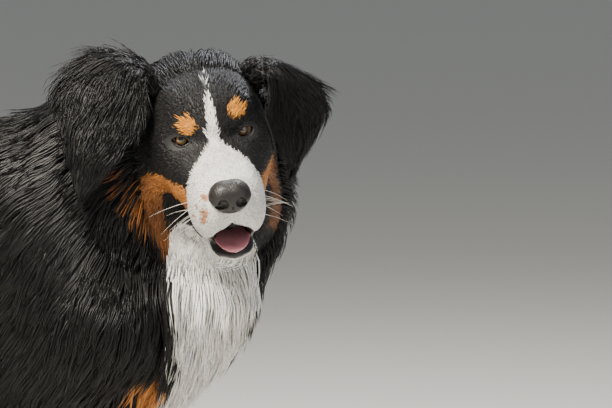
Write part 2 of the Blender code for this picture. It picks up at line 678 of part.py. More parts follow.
# Ears: middle of the flap, half its width towards the front edge, and half its thickness, from base to tip.
LEFT_EAR = [
    ((-0.075, 0.056, 0.036), (0.025, 0.004, 0.002), 0.0100),
    ((-0.072, 0.078, 0.046), (0.028, -0.006, 0.004), 0.0100),
    ((-0.070, 0.098, 0.038), (0.029, -0.020, 0.002), 0.0075),
    ((-0.064, 0.111, 0.016), (0.028, -0.033, 0.000), 0.0060),
    ((-0.058, 0.112, -0.010), (0.024, -0.033, 0.000), 0.0055),
    ((-0.053, 0.106, -0.032), (0.018, -0.024, 0.000), 0.0050),
    ((-0.050, 0.099, -0.050), (0.010, -0.013, 0.000), 0.0040),
]
RIGHT_EAR = [
    ((-0.078, -0.054, 0.040), (0.026, -0.002, 0.0), 0.0100),
    ((-0.084, -0.068, 0.062), (0.030, 0.004, -0.006), 0.0100),
    ((-0.085, -0.090, 0.064), (0.032, 0.020, -0.012), 0.0075),
    ((-0.066, -0.114, 0.040), (0.030, 0.036, -0.012), 0.0060),
    ((-0.048, -0.130, 0.012), (0.025, 0.030, -0.010), 0.0055),
    ((-0.033, -0.142, -0.014), (0.016, 0.018, -0.006), 0.0050),
    ((-0.024, -0.150, -0.034), (0.008, 0.009, -0.003), 0.0040),
]


def ear_rings(stations, points=12):
    rings = []
    middles = [Vector(s[0]) for s in stations]
    for i, (middle, half, thick) in enumerate(stations):
        down = middles[min(i + 1, len(middles) - 1)] - middles[max(i - 1, 0)]
        half = Vector(half)
        out = half.cross(down).normalized()
        ring = []
        for k in range(points):
            angle = math.tau * k / points
            cup = -0.35 * thick * math.cos(angle) ** 2
            shape = half * math.cos(angle) + out * (thick * math.sin(angle) + cup)
            ring.append(Vector(middle) + shape)
        rings.append(ring)
    return rings


def ear_flap(name, stations):
    """The ear, and the larger shapes that clear its place in the head and neck."""
    obj = new_object(name, loft(name, ear_rings(stations), HEAD))
    middle, half, thick = stations[1]
    inner = Vector(half).cross(Vector(stations[2][0]) - Vector(stations[0][0])).normalized()
    hand = 1.0 if middle[1] > 0 else -1.0
    inner = -inner if inner.y * hand > 0 else inner
    cup = Vector(middle) + inner * (thick + 0.001) + Vector((0.004, 0.012 * hand, 0.0))
    scoop = round_solid("cup", cup, (0.017, 0.010, 0.007), None, 10, 6)
    scoop.transform(HEAD)
    locks = ear_locks(stations, hand)
    room = [grown(shape, "room", 2 * GAP) for shape in [obj] + locks]
    combine(obj, [helper("cup", scoop)], "DIFFERENCE")
    return combine(obj, locks, "UNION"), room


# Ear locks: station along the flap from base to tip, place across it from the front edge to the back one.
EAR_ROOTS = [
    (1.9, -0.55), (2.2, 0.05), (2.5, -0.85), (2.9, 0.60), (3.2, -0.25),
    (3.6, -0.85), (3.9, 0.75), (4.3, 0.05), (4.5, -0.70), (5.1, 0.20),
]
EAR_LOCK_LENGTH = 0.056
EAR_LOCK_WIDTH = 0.019


def ear_locks(stations, hand):
    """Flat locks over the outer face of the flap, that stream down and off its edges."""
    dice = random.Random(SEED + 50 + int(hand))
    turn = HEAD.to_3x3()
    middles = [Vector(s[0]) for s in stations]
    found = []
    for along, across in EAR_ROOTS:
        i = min(int(along), len(stations) - 2)
        t = along - i
        middle = middles[i].lerp(middles[i + 1], t)
        half = Vector(stations[i][1]).lerp(Vector(stations[i + 1][1]), t)
        thick = stations[i][2] * (1 - t) + stations[i + 1][2] * t
        down = (middles[i + 1] - middles[i]).normalized()
        out = half.cross(down).normalized()
        out = out if out.y * hand > 0 else -out
        root = middle + half * across * 0.92 + out * thick * 0.2
        way = (down - half.normalized() * (0.35 - 0.55 * across) + Vector((0, 0, -0.15))).normalized()
        length = EAR_LOCK_LENGTH * (1.15 - 0.11 * along) * dice.uniform(0.85, 1.2)
        wide = EAR_LOCK_WIDTH * dice.uniform(0.85, 1.15)
        rings = []
        for t, lift, share in zip(STATIONS[:3], (-0.3, 1.0, 1.5), (0.7, 1.0, 0.7)):
            spot = root + way * (length * (t - 0.08)) + out * (0.005 * lift)
            side = way.cross(out).normalized() * (0.5 * wide * share)
            ring = (spot - side, spot + out * (0.25 * wide * share), spot + side)
            rings.append([HEAD @ v for v in ring])
        tip = root + way * length + out * 0.008 + Vector((0.0, 0.0, -0.006))
        found.append(lock_mesh(rings, HEAD @ tip))
    return found


TONGUE = [
    ((0.014, 0.0, -0.088), 0.018, 0.0035),
    ((0.040, 0.0, -0.0920), 0.0205, 0.0042),
    ((0.062, 0.0, -0.0955), 0.0212, 0.0042),
    ((0.080, 0.0, -0.0980), 0.0200, 0.0040),
    ((0.091, 0.0, -0.1005), 0.0160, 0.0034),
    ((0.096, 0.0, -0.1025), 0.0095, 0.0022),
]


def tongue_solid():
    rings = []
    for middle, wide, thick in TONGUE:
        ring = []
        for k in range(12):
            angle = math.tau * k / 12
            across = wide * math.cos(angle)
            dish = 0.004 * (across / 0.020) ** 2
            ring.append(Vector(middle) + Vector((0, across, thick * math.sin(angle) + dish)))
        rings.append(ring)
    return new_object("tongue", loft("tongue", rings, HEAD))


def nose_solid():
    """The leather pad, wide at the nostrils and narrower at the lip, with comma-shaped nostrils."""
    data = round_solid("nose", (0, 0, 0), (0.0185, 0.0245, 0.0205), None, 14, 8, 0.86)
    for vertex in data.vertices:
        drop = max(0.0, -vertex.co.z / 0.0205)
        vertex.co.y *= 1.0 - 0.38 * drop
        vertex.co.x -= 0.006 * drop * drop
    data.transform(HEAD @ Matrix.Translation((0.0975, 0.0, -0.0360)))
    obj = new_object("nose", data)
    bed = grown(obj, "pad")
    cuts = []
    for hand in (1, -1):
        hole = round_solid("nostril", (0.1170, 0.0100 * hand, -0.0375), (0.009, 0.0048, 0.0056), None, 10, 8)
        hole.transform(HEAD)
        cuts.append(helper("nostril", hole))
        slit = round_solid("slit", (0.1080, 0.0178 * hand, -0.0435), (0.011, 0.0062, 0.0019), None, 10, 6)
        slit.transform(HEAD)
        cuts.append(helper("slit", slit))
    groove = round_solid("groove", (0.1155, 0.0, -0.0475), (0.0032, 0.0009, 0.0130), None, 8, 6)
    groove.transform(HEAD)
    cuts.append(helper("groove", groove))
    return combine(obj, cuts, "DIFFERENCE"), bed


def claw_meshes(paw, hand):
    """Four short dull claws, their roots sunk in the toes."""
    x, y, z = paw
    found = []
    for across, ahead in zip(TOE_SPREAD, TOE_REACH):
        root = Vector((x + ahead + 0.017, (y + across) * hand, z - 0.012))
        ring, tip = [], []
        for k in range(6):
            angle = math.tau * k / 6
            turn = Vector((0.0, math.cos(angle), math.sin(angle)))
            ring.append(root + turn * 0.0036)
            tip.append(root + Vector((0.0165, 0.0, -0.0065)) + turn * 0.0011)
        found.append(helper("claw", loft("claw", [ring, tip])))
    return found


def slab(point, normal, wide, tall, side=None):
    """A thin plate, GAP thick, that parts two nodes; side turns it about its normal."""
    normal = Vector(normal).normalized()
    up = Vector(side or (0.0, 0.0, 1.0))
    across = up.cross(normal).normalized()
    turn = Matrix((across, normal.cross(across), normal)).transposed().to_4x4()
    mesh = bmesh.new()
    size = Matrix.Diagonal((wide, tall, GAP, 1.0))
    bmesh.ops.create_cube(mesh, size=1.0, matrix=Matrix.Translation(point) @ turn @ size)
    data = bpy.data.meshes.new("plate")
    mesh.to_mesh(data)
    mesh.free()
    return helper("plate", data)


def box_solid(name, low, high):
    mesh = bmesh.new()
    low, high = Vector(low), Vector(high)
    size = Matrix.Diagonal((*(high - low), 1.0))
    bmesh.ops.create_cube(mesh, size=1.0, matrix=Matrix.Translation((low + high) / 2) @ size)
    data = bpy.data.meshes.new(name)
    mesh.to_mesh(data)
    mesh.free()
    return helper(name, data)


def part_planes():
    """Every thin plate that parts the body into its nodes."""
    head_axes = HEAD.to_3x3()
    back = (0.839, -0.511, 0.188)
    cuts = [slab((0.2062, 0.0094, 0.6725), back, 0.40, 0.305)]
    under = (0.256, -0.156, 1.0)
    cuts.append(slab((0.2600, -0.0235, 0.521), under, 0.082, 0.40, (0.511, 0.839, 0.0)))
    cuts.append(slab((0.100, 0.0, 0.555), (0.69, 0.0, 0.724), 0.60, 0.52))
    for hand in (1, -1):
        lean = (0.0, -0.707 * hand, 0.707)
        cuts.append(slab((0.030, 0.115 * hand, 0.362), lean, 0.42, 0.28, (0, 1, 0)))
        lean = (0.41, -0.66 * hand, 1.0)
        cuts.append(slab((-0.400, 0.110 * hand, 0.413), lean, 0.38, 0.26, (0, 1, 0)))
        cuts.append(slab((0.070, LEG_SPREAD * hand, 0.078), (0.12, 0, 0.99), 0.16, 0.12))
        cuts.append(slab((-0.490, LEG_SPREAD * hand, 0.078), (-0.08, 0, 0.99), 0.16, 0.12))
    cuts.append(slab((-0.539, 0.003, 0.541), (-0.95, 0.0, -0.31), 0.13, 0.20))
    gape = head_axes @ Vector((0.17, 0.0, 1.0))
    level = HEAD @ Vector((0.052, 0.0, -0.0855))
    cuts.append(slab(level, gape, 0.23, 0.26, head_axes @ Vector((0, 1, 0))))
    throat = head_axes @ Vector((1.0, 0.0, 0.30))
    ahead = head_axes @ Vector((0.0, 1.0, 0.0))
    cuts.append(slab(HEAD @ Vector((-0.032, 0.0, -0.122)), throat, 0.13, 0.26, ahead))
    return cuts


NODE_SEEDS = {
    "head": HEAD @ Vector((-0.070, 0.0, 0.010)),
    "jaw": HEAD @ Vector((0.072, 0.0, -0.114)),
    "neck": Vector((0.140, 0.0, 0.620)),
    "torso": Vector((-0.200, 0.0, 0.500)),
    "tail": Vector((-0.560, 0.010, 0.450)),
    "foreleg_left": Vector((0.045, 0.096, 0.200)),
    "foreleg_right": Vector((0.045, -0.096, 0.200)),
    "forepaw_left": Vector((0.085, 0.096, 0.030)),
    "forepaw_right": Vector((0.085, -0.096, 0.030)),
    "hindleg_left": Vector((-0.480, 0.094, 0.230)),
    "hindleg_right": Vector((-0.480, -0.094, 0.230)),
    "hindpaw_left": Vector((-0.460, 0.096, 0.030)),
    "hindpaw_right": Vector((-0.460, -0.096, 0.030)),
}


def loose_pieces(obj):
    """Face lists of the connected surfaces of a mesh."""
    mesh = obj.data
    parent = list(range(len(mesh.vertices)))

    def root_of(v):
        while parent[v] != v:
            parent[v] = parent[parent[v]]
            v = parent[v]
        return v

    for edge in mesh.edges:
        a, b = root_of(edge.vertices[0]), root_of(edge.vertices[1])
        if a != b:
            parent[a] = b
    groups = {}
    for face in mesh.polygons:
        groups.setdefault(root_of(face.vertices[0]), []).append(tuple(face.vertices))
    return list(groups.values())


def inside(tree, point):
    """Whether a ray from the point crosses the surface an odd number of times."""
    crossings, start = 0, point.copy()
    way = Vector((0.0137, 0.0211, 1.0)).normalized()
    for _ in range(60):
        hit = tree.ray_cast(start, way)
        if hit[0] is None:
            return crossings % 2 == 1
        crossings += 1
        start = hit[0] + way * 1e-6
    return False


def part_nodes(body):
    """Splits the cut body into its nodes; each keeps the largest surface that holds its seed."""
    spots = places(body.data)
    nodes = {}
    for faces in sorted(loose_pieces(body), key=len, reverse=True):
        used = sorted({v for face in faces for v in face})
        renumber = {v: i for i, v in enumerate(used)}
        points = [Vector(spots[v]) for v in used]
        local = [tuple(renumber[v] for v in face) for face in faces]
        tree = BVHTree.FromPolygons(points, local)
        for name, seed in NODE_SEEDS.items():
            if name not in nodes and inside(tree, seed):
                nodes[name] = new_object(name, mesh_of(name, points, local))
                break
        else:
            print("dropped a piece of", len(faces), "faces at", points[0])
    missing = set(NODE_SEEDS) - set(nodes)
    assert not missing, missing
    bpy.data.objects.remove(body, do_unlink=True)
    return nodes


COLOURS = {
    "head": (0.02, 0.02, 0.02),
    "jaw": (0.75, 0.72, 0.66),
    "neck": (0.02, 0.02, 0.02),
    "torso": (0.02, 0.02, 0.02),
    "tail": (0.02, 0.02, 0.02),
    "nose": (0.03, 0.025, 0.022),
    "tongue": (0.30, 0.13, 0.15),
    "eye": (0.10, 0.055, 0.02),
    "ear": (0.02, 0.02, 0.02),
    "foreleg": (0.35, 0.17, 0.06),
    "hindleg": (0.02, 0.02, 0.02),
    "forepaw": (0.75, 0.72, 0.66),
    "hindpaw": (0.75, 0.72, 0.66),
}


def finish(obj):
    """Gives a node its material and puts it in the part's collection."""
    kind = obj.name.split("_")[0]
    material = bpy.data.materials.new(obj.name)
    material.use_nodes = True
    shader = material.node_tree.nodes["Principled BSDF"]
    shader.inputs["Base Color"].default_value = (*COLOURS[kind], 1.0)
    shader.inputs["Roughness"].default_value = 0.25 if kind in ("eye", "nose", "tongue") else 0.6
    obj.data.materials.clear()
    obj.data.materials.append(material)
    GUIDES.objects.unlink(obj)
    PARTS.objects.link(obj)


def main():
    clear_scene()
    body = flesh()
    thin_out(body, head_share(places(body.data)), HEAD_FACES)
    thin_out(body, 1.0 - head_share(places(body.data)), BODY_FACES)
    made, joins, cuts = [], [], []
    for side, hand in (("left", 1), ("right", -1)):
        place, turn = eye_place(hand), eye_axes(hand)
        lids = round_solid("lids", place, (0.0136, 0.0136, 0.0136), turn, 14, 8)
        lids.transform(HEAD)
        joins.append(helper("lids", lids))
        socket = round_solid("socket", place, (0.0120, 0.0120, 0.0120), turn, 14, 10)
        socket.transform(HEAD)
        cuts.append(helper("socket", socket))
        front = place + (turn @ Vector((0.0, 0.0, 0.0135)))
        slit = round_solid("slit", front, (0.0092, 0.0046, 0.0075), turn, 16, 8)
        slit.transform(HEAD)
        cuts.append(helper("slit", slit))
        data = round_solid("eye_" + side, place, (EYE_RADIUS,) * 3, turn, 14, 10)
        data.transform(HEAD)
        made.append(new_object("eye_" + side, data))
        for paw in (FORE_PAW, HIND_PAW):
            joins += claw_meshes(paw, hand)
    joins += body_locks(body)
    combine(body, joins, "UNION")
    (nose, bed), tongue = nose_solid(), tongue_solid()
    left, left_room = ear_flap("ear_left", LEFT_EAR)
    right, right_room = ear_flap("ear_right", RIGHT_EAR)
    made += [nose, tongue, left, right]
    cuts += [bed, grown(tongue, "room")]
    cuts += left_room + right_room
    cuts.append(box_solid("floor", (-1.0, -0.5, -0.2), (0.6, 0.5, 0.0)))
    combine(body, cuts + part_planes(), "DIFFERENCE")
    nodes = part_nodes(body)
    made += list(nodes.values())
    settle_on_origin(made)
    for obj in made:
        finish(obj)
    print("faces", {o.name: len(o.data.polygons) for o in made})


def settle_on_origin(made):
    """Brings the middle of the dog's box over the origin, with the soles on the ground."""
    spots = np.concatenate([places(o.data) for o in made])
    low, high = spots.min(axis=0), spots.max(axis=0)
    shift = -np.array(((low[0] + high[0]) / 2, (low[1] + high[1]) / 2, low[2]))
    for obj in made:
        obj.data.transform(Matrix.Translation(shift))


main()
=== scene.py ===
import math
import os
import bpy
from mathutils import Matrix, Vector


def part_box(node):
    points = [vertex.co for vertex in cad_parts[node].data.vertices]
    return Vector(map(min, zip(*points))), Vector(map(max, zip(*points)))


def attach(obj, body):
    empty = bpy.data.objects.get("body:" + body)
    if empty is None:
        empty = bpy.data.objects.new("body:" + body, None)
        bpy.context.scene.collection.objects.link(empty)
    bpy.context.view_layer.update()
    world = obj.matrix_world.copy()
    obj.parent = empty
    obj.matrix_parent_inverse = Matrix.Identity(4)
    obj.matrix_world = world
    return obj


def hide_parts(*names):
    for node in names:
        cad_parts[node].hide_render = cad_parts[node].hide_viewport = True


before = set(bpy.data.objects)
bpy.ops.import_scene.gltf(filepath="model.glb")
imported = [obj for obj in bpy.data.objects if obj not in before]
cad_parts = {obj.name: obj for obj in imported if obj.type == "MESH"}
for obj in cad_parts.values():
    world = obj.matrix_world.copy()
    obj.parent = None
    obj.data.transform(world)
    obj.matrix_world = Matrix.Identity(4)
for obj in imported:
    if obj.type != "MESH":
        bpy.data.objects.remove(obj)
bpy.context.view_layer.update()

from concurrent.futures import ThreadPoolExecutor

import bmesh
import bpy
import numpy as np
from mathutils import Matrix, Vector
from mathutils.kdtree import KDTree

# The stand of the dog.
# It faces +X with its left side to +Y, and its head is turned to its right, down a little and rolled.
EYES_MIDDLE = Vector((0.270, -0.090, 0.660))
HEAD_YAW = math.radians(-59.2)
HEAD_PITCH = math.radians(16.4)
HEAD_ROLL = math.radians(8.7)
EYE_PLACE = Vector((-0.0100, 0.0350, 0.0))
HEAD = (
    Matrix.Translation(EYES_MIDDLE)
    @ Matrix.Rotation(HEAD_YAW, 4, "Z")
    @ Matrix.Rotation(HEAD_PITCH, 4, "Y")
    @ Matrix.Rotation(HEAD_ROLL, 4, "X")
)
HEAD_TURN = np.array(HEAD)[:3, :3]
HEAD_BACK = np.array(HEAD.inverted())


def box_middle(node):
    low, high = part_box(node)
    return (Vector(low) + Vector(high)) / 2


# The solids stand with the middle of their box over the origin; the eyes tell where the dog's own origin is.
DOG = (box_middle("eye_left") + box_middle("eye_right")) / 2 - HEAD @ Vector((EYE_PLACE.x, 0.0, 0.0))
GROUND = -DOG.z


# Skin.
# The hide over flesh and bone, one soft surface from nose to tail. It is blended from the balls and tapered
# bones of skull, muzzle, neck, trunk and limbs, drawn tight, and carries the coat's markings at its roots.
def to_head(points):
    """Points of the dog's frame as points of the head's own frame."""
    return points @ HEAD_BACK[:3, :3].T + HEAD_BACK[:3, 3]


def ball(points, centre, radii, tilt=0.0):
    """Distance to an ellipsoid whose first axis is pitched down by tilt degrees about Y."""
    p = points - np.array(centre)
    if tilt:
        c, s = math.cos(math.radians(tilt)), math.sin(math.radians(tilt))
        p = np.stack([c * p[:, 0] - s * p[:, 2], p[:, 1], s * p[:, 0] + c * p[:, 2]], 1)
    r = np.array(radii)
    near = np.linalg.norm(p / r, axis=1)
    slope = np.linalg.norm(p / (r * r), axis=1) + 1e-9
    return near * (near - 1.0) / slope


def bone(points, start, end, start_radius, end_radius, flat=1.0):
    """Distance to a tapered rod with round ends, its Y size divided by flat."""
    a, b = np.array(start), np.array(end)
    stretch = np.array([1.0, flat, 1.0])
    p, along = (points - a) * stretch, (b - a) * stretch
    t = np.clip(p @ along / (along @ along), 0.0, 1.0)
    radius = start_radius + (end_radius - start_radius) * t
    return (np.linalg.norm(p - t[:, None] * along, axis=1) - radius) / max(flat, 1.0)


def melt(first, second, reach):
    """Smooth union of two distances, blended over reach metres."""
    h = np.clip(0.5 + 0.5 * (second - first) / reach, 0.0, 1.0)
    return second * (1.0 - h) + first * h - reach * h * (1.0 - h)


def mirrored(points):
    """The same points folded onto the left side."""
    return np.stack([points[:, 0], np.abs(points[:, 1]), points[:, 2]], 1)


# The head in its own frame, with the origin midway between the eyes: kind, place, size, blend.
HEAD_FORMS = [
    (ball, (-0.072, 0.0, 0.008), ((0.078, 0.064, 0.056), 0), 0.020),
    (ball, (-0.029, 0.022, 0.021), ((0.031, 0.029, 0.028), 15), 0.024),
    (ball, (-0.014, 0.0, 0.010), ((0.026, 0.020, 0.028), 30), 0.018),
    (ball, (-0.019, 0.032, 0.000), ((0.016, 0.021, 0.018), 0), 0.014),
    (ball, (-0.008, 0.034, -0.026), ((0.024, 0.025, 0.022), 0), 0.016),
    (ball, (-0.048, 0.046, -0.026), ((0.050, 0.025, 0.038), 10), 0.022),
    (ball, (-0.062, 0.042, -0.052), ((0.048, 0.028, 0.038), 25), 0.024),
    (bone, (-0.010, 0.0, -0.026), ((0.077, 0.0, -0.038), 0.031, 0.025, 0.80), 0.014),
    (ball, (0.010, 0.031, -0.044), ((0.042, 0.025, 0.034), 12), 0.018),
    (ball, (0.058, 0.0215, -0.058), ((0.042, 0.0225, 0.038), 8), 0.012),
    (ball, (0.080, 0.015, -0.059), ((0.022, 0.018, 0.025), 0), 0.010),
    (bone, (-0.070, 0.0, -0.070), ((-0.115, 0.0, -0.035), 0.046, 0.062, 1.0), 0.030),
]
JAW_FORMS = [
    (bone, (-0.045, 0.024, -0.080), ((0.056, 0.009, -0.108), 0.028, 0.0130, 1.0), 0.016),
    (ball, (0.070, 0.0, -0.1070), ((0.024, 0.0245, 0.0105), 12), 0.010),
    (bone, (-0.050, 0.0, -0.084), ((0.030, 0.0, -0.103), 0.032, 0.018, 1.0), 0.018),
]
MOUTH_FORMS = [
    (bone, (0.020, 0.0, -0.083), ((0.118, 0.0, -0.088), 0.008, 0.0165, 0.66), 0.004),
    (bone, (0.026, 0.050, -0.066), ((0.060, 0.046, -0.092), 0.0075, 0.0045, 1.0), 0.006),
]
LEG_SPREAD = 0.096
FORE_PAW = (0.088, LEG_SPREAD, 0.0275)
HIND_PAW = (-0.455, LEG_SPREAD, 0.0270)
TRUNK_FORMS = [
    (ball, (-0.060, 0.0, 0.476), ((0.235, 0.128, 0.162), 2), 0.030),
    (ball, (0.110, 0.0, 0.450), ((0.115, 0.098, 0.125), -12), 0.040),
    (ball, (0.045, 0.090, 0.500), ((0.085, 0.050, 0.130), -18), 0.045),
    (ball, (-0.030, 0.0, 0.588), ((0.120, 0.062, 0.052), 0), 0.045),
    (bone, (-0.050, 0.0, 0.545), ((-0.370, 0.0, 0.548), 0.086, 0.080, 0.92), 0.050),
    (ball, (-0.255, 0.0, 0.465), ((0.170, 0.112, 0.112), -6), 0.050),
    (ball, (-0.395, 0.0, 0.532), ((0.118, 0.108, 0.092), 8), 0.045),
]
NECK_FORMS = [
    (bone, (0.010, 0.0, 0.545), ((0.120, 0.004, 0.608), 0.112, 0.100, 1.0), 0.050),
    (bone, (0.120, 0.004, 0.608), ((0.205, 0.008, 0.658), 0.098, 0.074, 1.0), 0.040),
    (ball, (0.255, 0.014, 0.590), ((0.049, 0.043, 0.064), 0), 0.030),
    (ball, (0.204, 0.022, 0.502), ((0.059, 0.055, 0.098), 0), 0.040),
    (ball, (0.245, 0.046, 0.578), ((0.052, 0.047, 0.068), 0), 0.035),
]
FORELEG_FORMS = [
    (bone, (0.130, 0.092, 0.440), ((0.020, 0.102, 0.345), 0.052, 0.046, 1.0), 0.035),
    (bone, (0.020, 0.098, 0.345), ((0.050, LEG_SPREAD, 0.140), 0.044, 0.028, 1.0), 0.025),
    (bone, (0.050, LEG_SPREAD, 0.145), ((0.066, LEG_SPREAD, 0.050), 0.030, 0.027, 1.0), 0.014),
]
THIGH_FORMS = [
    (ball, (-0.405, 0.086, 0.440), ((0.105, 0.052, 0.135), 22), 0.040),
    (bone, (-0.345, 0.100, 0.385), ((-0.490, 0.094, 0.215), 0.060, 0.027, 1.0), 0.030),
    (bone, (-0.498, 0.094, 0.205), ((-0.512, 0.095, 0.175), 0.026, 0.024, 1.0), 0.012),
    (bone, (-0.512, 0.095, 0.178), ((-0.492, LEG_SPREAD, 0.055), 0.0235, 0.0245, 1.0), 0.012),
]
TAIL_BONES = [
    (-0.465, 0.000, 0.570, 0.038),
    (-0.556, 0.004, 0.536, 0.031),
    (-0.598, 0.010, 0.460, 0.026),
    (-0.615, 0.020, 0.365, 0.021),
    (-0.634, 0.032, 0.275, 0.015),
    (-0.668, 0.044, 0.222, 0.010),
]
TOE_SPREAD = (-0.030, -0.0105, 0.0105, 0.030)
TOE_REACH = (0.016, 0.034, 0.034, 0.016)


def forms_field(points, forms, start=None):
    """The blend of a list of forms."""
    distance = start
    for kind, place, size, reach in forms:
        found = kind(points, place, *size)
        distance = found if distance is None else melt(distance, found, reach)
    return distance


def paw_field(points, paw):
    """A cat-like paw: the pad and the four arched toes."""
    x, y, z = paw
    distance = ball(points, (x - 0.010, y, z + 0.004), (0.044, 0.034, 0.034))
    for across, ahead in zip(TOE_SPREAD, TOE_REACH):
        toe = (x + ahead, y + across, z - 0.007)
        distance = melt(distance, ball(points, toe, (0.026, 0.0135, 0.0225), 18), 0.007)
    return distance


def tail_field(points):
    distance = None
    for (*near, near_radius), (*far, far_radius) in zip(TAIL_BONES, TAIL_BONES[1:]):
        length = bone(points, near, far, near_radius, far_radius)
        distance = length if distance is None else melt(distance, length, 0.020)
    return distance


LID_RADIUS = 0.0134


def whole_field(points):
    """Signed distance to the dog's skin, lids included."""
    side = mirrored(points)
    distance = forms_field(side, TRUNK_FORMS)
    distance = forms_field(points, NECK_FORMS, distance)
    distance = forms_field(side, FORELEG_FORMS + THIGH_FORMS, distance)
    distance = melt(distance, paw_field(side, FORE_PAW), 0.014)
    distance = melt(distance, paw_field(side, HIND_PAW), 0.014)
    distance = melt(distance, tail_field(points), 0.030)
    own = mirrored(to_head(points))
    head = melt(forms_field(own, HEAD_FORMS), forms_field(own, JAW_FORMS), 0.014)
    head = melt(head, ball(own, EYE_PLACE, (LID_RADIUS,) * 3), 0.0035)
    distance = melt(distance, head, 0.030)
    return -melt(-distance, forms_field(own, MOUTH_FORMS), 0.005)


def in_slices(work, points, size=20000):
    """Runs work on slices of the points side by side, and joins what it gives."""
    slices = [points[i:i + size] for i in range(0, len(points), size)]
    with ThreadPoolExecutor(os.cpu_count()) as pool:
        return np.concatenate(list(pool.map(work, slices)))


def skin_field(points):
    return in_slices(whole_field, points)


def skin_slope(points, step=0.0005):
    """Distance to the skin, and the way out of it, one unit long."""
    count = len(points)
    ways = np.eye(3) * step
    asked = np.concatenate([points] + [points + way for way in ways])
    found = skin_field(asked).reshape(4, count)
    out = (found[1:] - found[0]).T
    return found[0], out / (np.linalg.norm(out, axis=1, keepdims=True) + 1e-12)


def bead_shapes(forms, turn=None):
    """Round shapes that fill each form, for the voxel remesh to start from."""
    found = []
    for kind, place, size, _ in forms:
        for hand in (1, -1) if abs(place[1]) > 1e-6 else (1,):
            if kind is ball:
                radii, tilt = size if len(size) > 1 else (size[0], 0)
                lean = Matrix.Rotation(math.radians(tilt), 4, "Y")
                centre = Vector((place[0], place[1] * hand, place[2]))
                found.append(Matrix.Translation(centre) @ lean @ Matrix.Diagonal((*radii, 1.0)))
                continue
            end, start_radius, end_radius, flat = size
            for t in np.linspace(0.0, 1.0, 9):
                centre = Vector(place).lerp(Vector(end), t)
                centre.y *= hand
                r = start_radius + (end_radius - start_radius) * t
                found.append(Matrix.Translation(centre) @ Matrix.Diagonal((r, r / flat, r, 1.0)))
    return [turn @ shape for shape in found] if turn else found


def mesh_from(work, name):
    """The mesh of a finished bmesh."""
    mesh = bpy.data.meshes.new(name)
    work.to_mesh(mesh)
    work.free()
    return mesh


def new_mesh(name, vertices, faces):
    mesh = bpy.data.meshes.new(name)
    mesh.from_pydata(vertices, [], faces)
    mesh.update()
    return mesh


def select_only(obj):
    for other in bpy.context.selected_objects:
        other.select_set(False)
    obj.select_set(True)
    bpy.context.view_layer.objects.active = obj


def mesh_object(name, mesh):
    obj = bpy.data.objects.new(name, mesh)
    bpy.context.scene.collection.objects.link(obj)
    return obj


def apply_all(obj):
    """Applies an object's modifiers in turn."""
    select_only(obj)
    for modifier in list(obj.modifiers):
        bpy.ops.object.modifier_apply(modifier=modifier.name)


def points_of(mesh):
    found = np.empty(len(mesh.vertices) * 3)
    mesh.vertices.foreach_get("co", found)
    return found.reshape(-1, 3)


def set_points(mesh, points):
    mesh.vertices.foreach_set("co", np.ascontiguousarray(points, dtype=np.float32).ravel())
    mesh.update()


def rough_body():
    """Every form of the dog as overlapping balls, fused into one closed skin by voxels."""
    shapes = bead_shapes(TRUNK_FORMS + NECK_FORMS + FORELEG_FORMS + THIGH_FORMS)
    shapes += bead_shapes(HEAD_FORMS + JAW_FORMS, HEAD)
    for paw in (FORE_PAW, HIND_PAW):
        for hand in (1, -1):
            centre = Matrix.Translation((paw[0] + 0.006, paw[1] * hand, paw[2]))
            shapes.append(centre @ Matrix.Diagonal((0.056, 0.042, 0.032, 1.0)))
    for near, far in zip(TAIL_BONES, TAIL_BONES[1:]):
        for t in np.linspace(0.0, 1.0, 6):
            x, y, z, r = np.array(near) * (1 - t) + np.array(far) * t
            shapes.append(Matrix.Translation((x, y, z)) @ Matrix.Diagonal((r, r, r, 1.0)))
    work = bmesh.new()
    for shape in shapes:
        bmesh.ops.create_icosphere(work, subdivisions=2, radius=1.05, matrix=shape)
    obj = mesh_object("skin", mesh_from(work, "skin"))
    voxels = obj.modifiers.new("voxels", "REMESH")
    voxels.mode = "VOXEL"
    voxels.voxel_size = 0.0055
    apply_all(obj)
    return obj


def settle(points, rounds):
    """Moves points onto the skin."""
    for _ in range(rounds):
        distance, out = skin_slope(points)
        points = points - out * np.clip(distance, -0.008, 0.008)[:, None]
    return points


def split_near(obj, near, reach):
    """Splits the faces once whose corners are all nearer than reach, by the distances near."""
    work = bmesh.new()
    work.from_mesh(obj.data)
    edges = [e for e in work.edges if all(near[v.index] < reach for v in e.verts)]
    bmesh.ops.subdivide_edges(work, edges=edges, cuts=1, use_grid_fill=True)
    bmesh.ops.triangulate(work, faces=work.faces)
    work.to_mesh(obj.data)
    work.free()


def smooth_points(obj, rounds):
    """Evens out the points of the skin and lays them on it again."""
    mesh = obj.data
    ends = np.empty(len(mesh.edges) * 2, dtype=np.int32)
    mesh.edges.foreach_get("vertices", ends)
    ends = ends.reshape(-1, 2)
    points = points_of(mesh)
    count = np.bincount(ends.ravel(), minlength=len(points))[:, None]
    for _ in range(rounds):
        total = np.zeros_like(points)
        for axis in range(3):
            total[:, axis] = np.bincount(ends[:, 0], points[ends[:, 1], axis], len(points))
            total[:, axis] += np.bincount(ends[:, 1], points[ends[:, 0], axis], len(points))
        points = settle(points * 0.5 + 0.5 * total / count, 1)
    set_points(mesh, settle(points, 1))


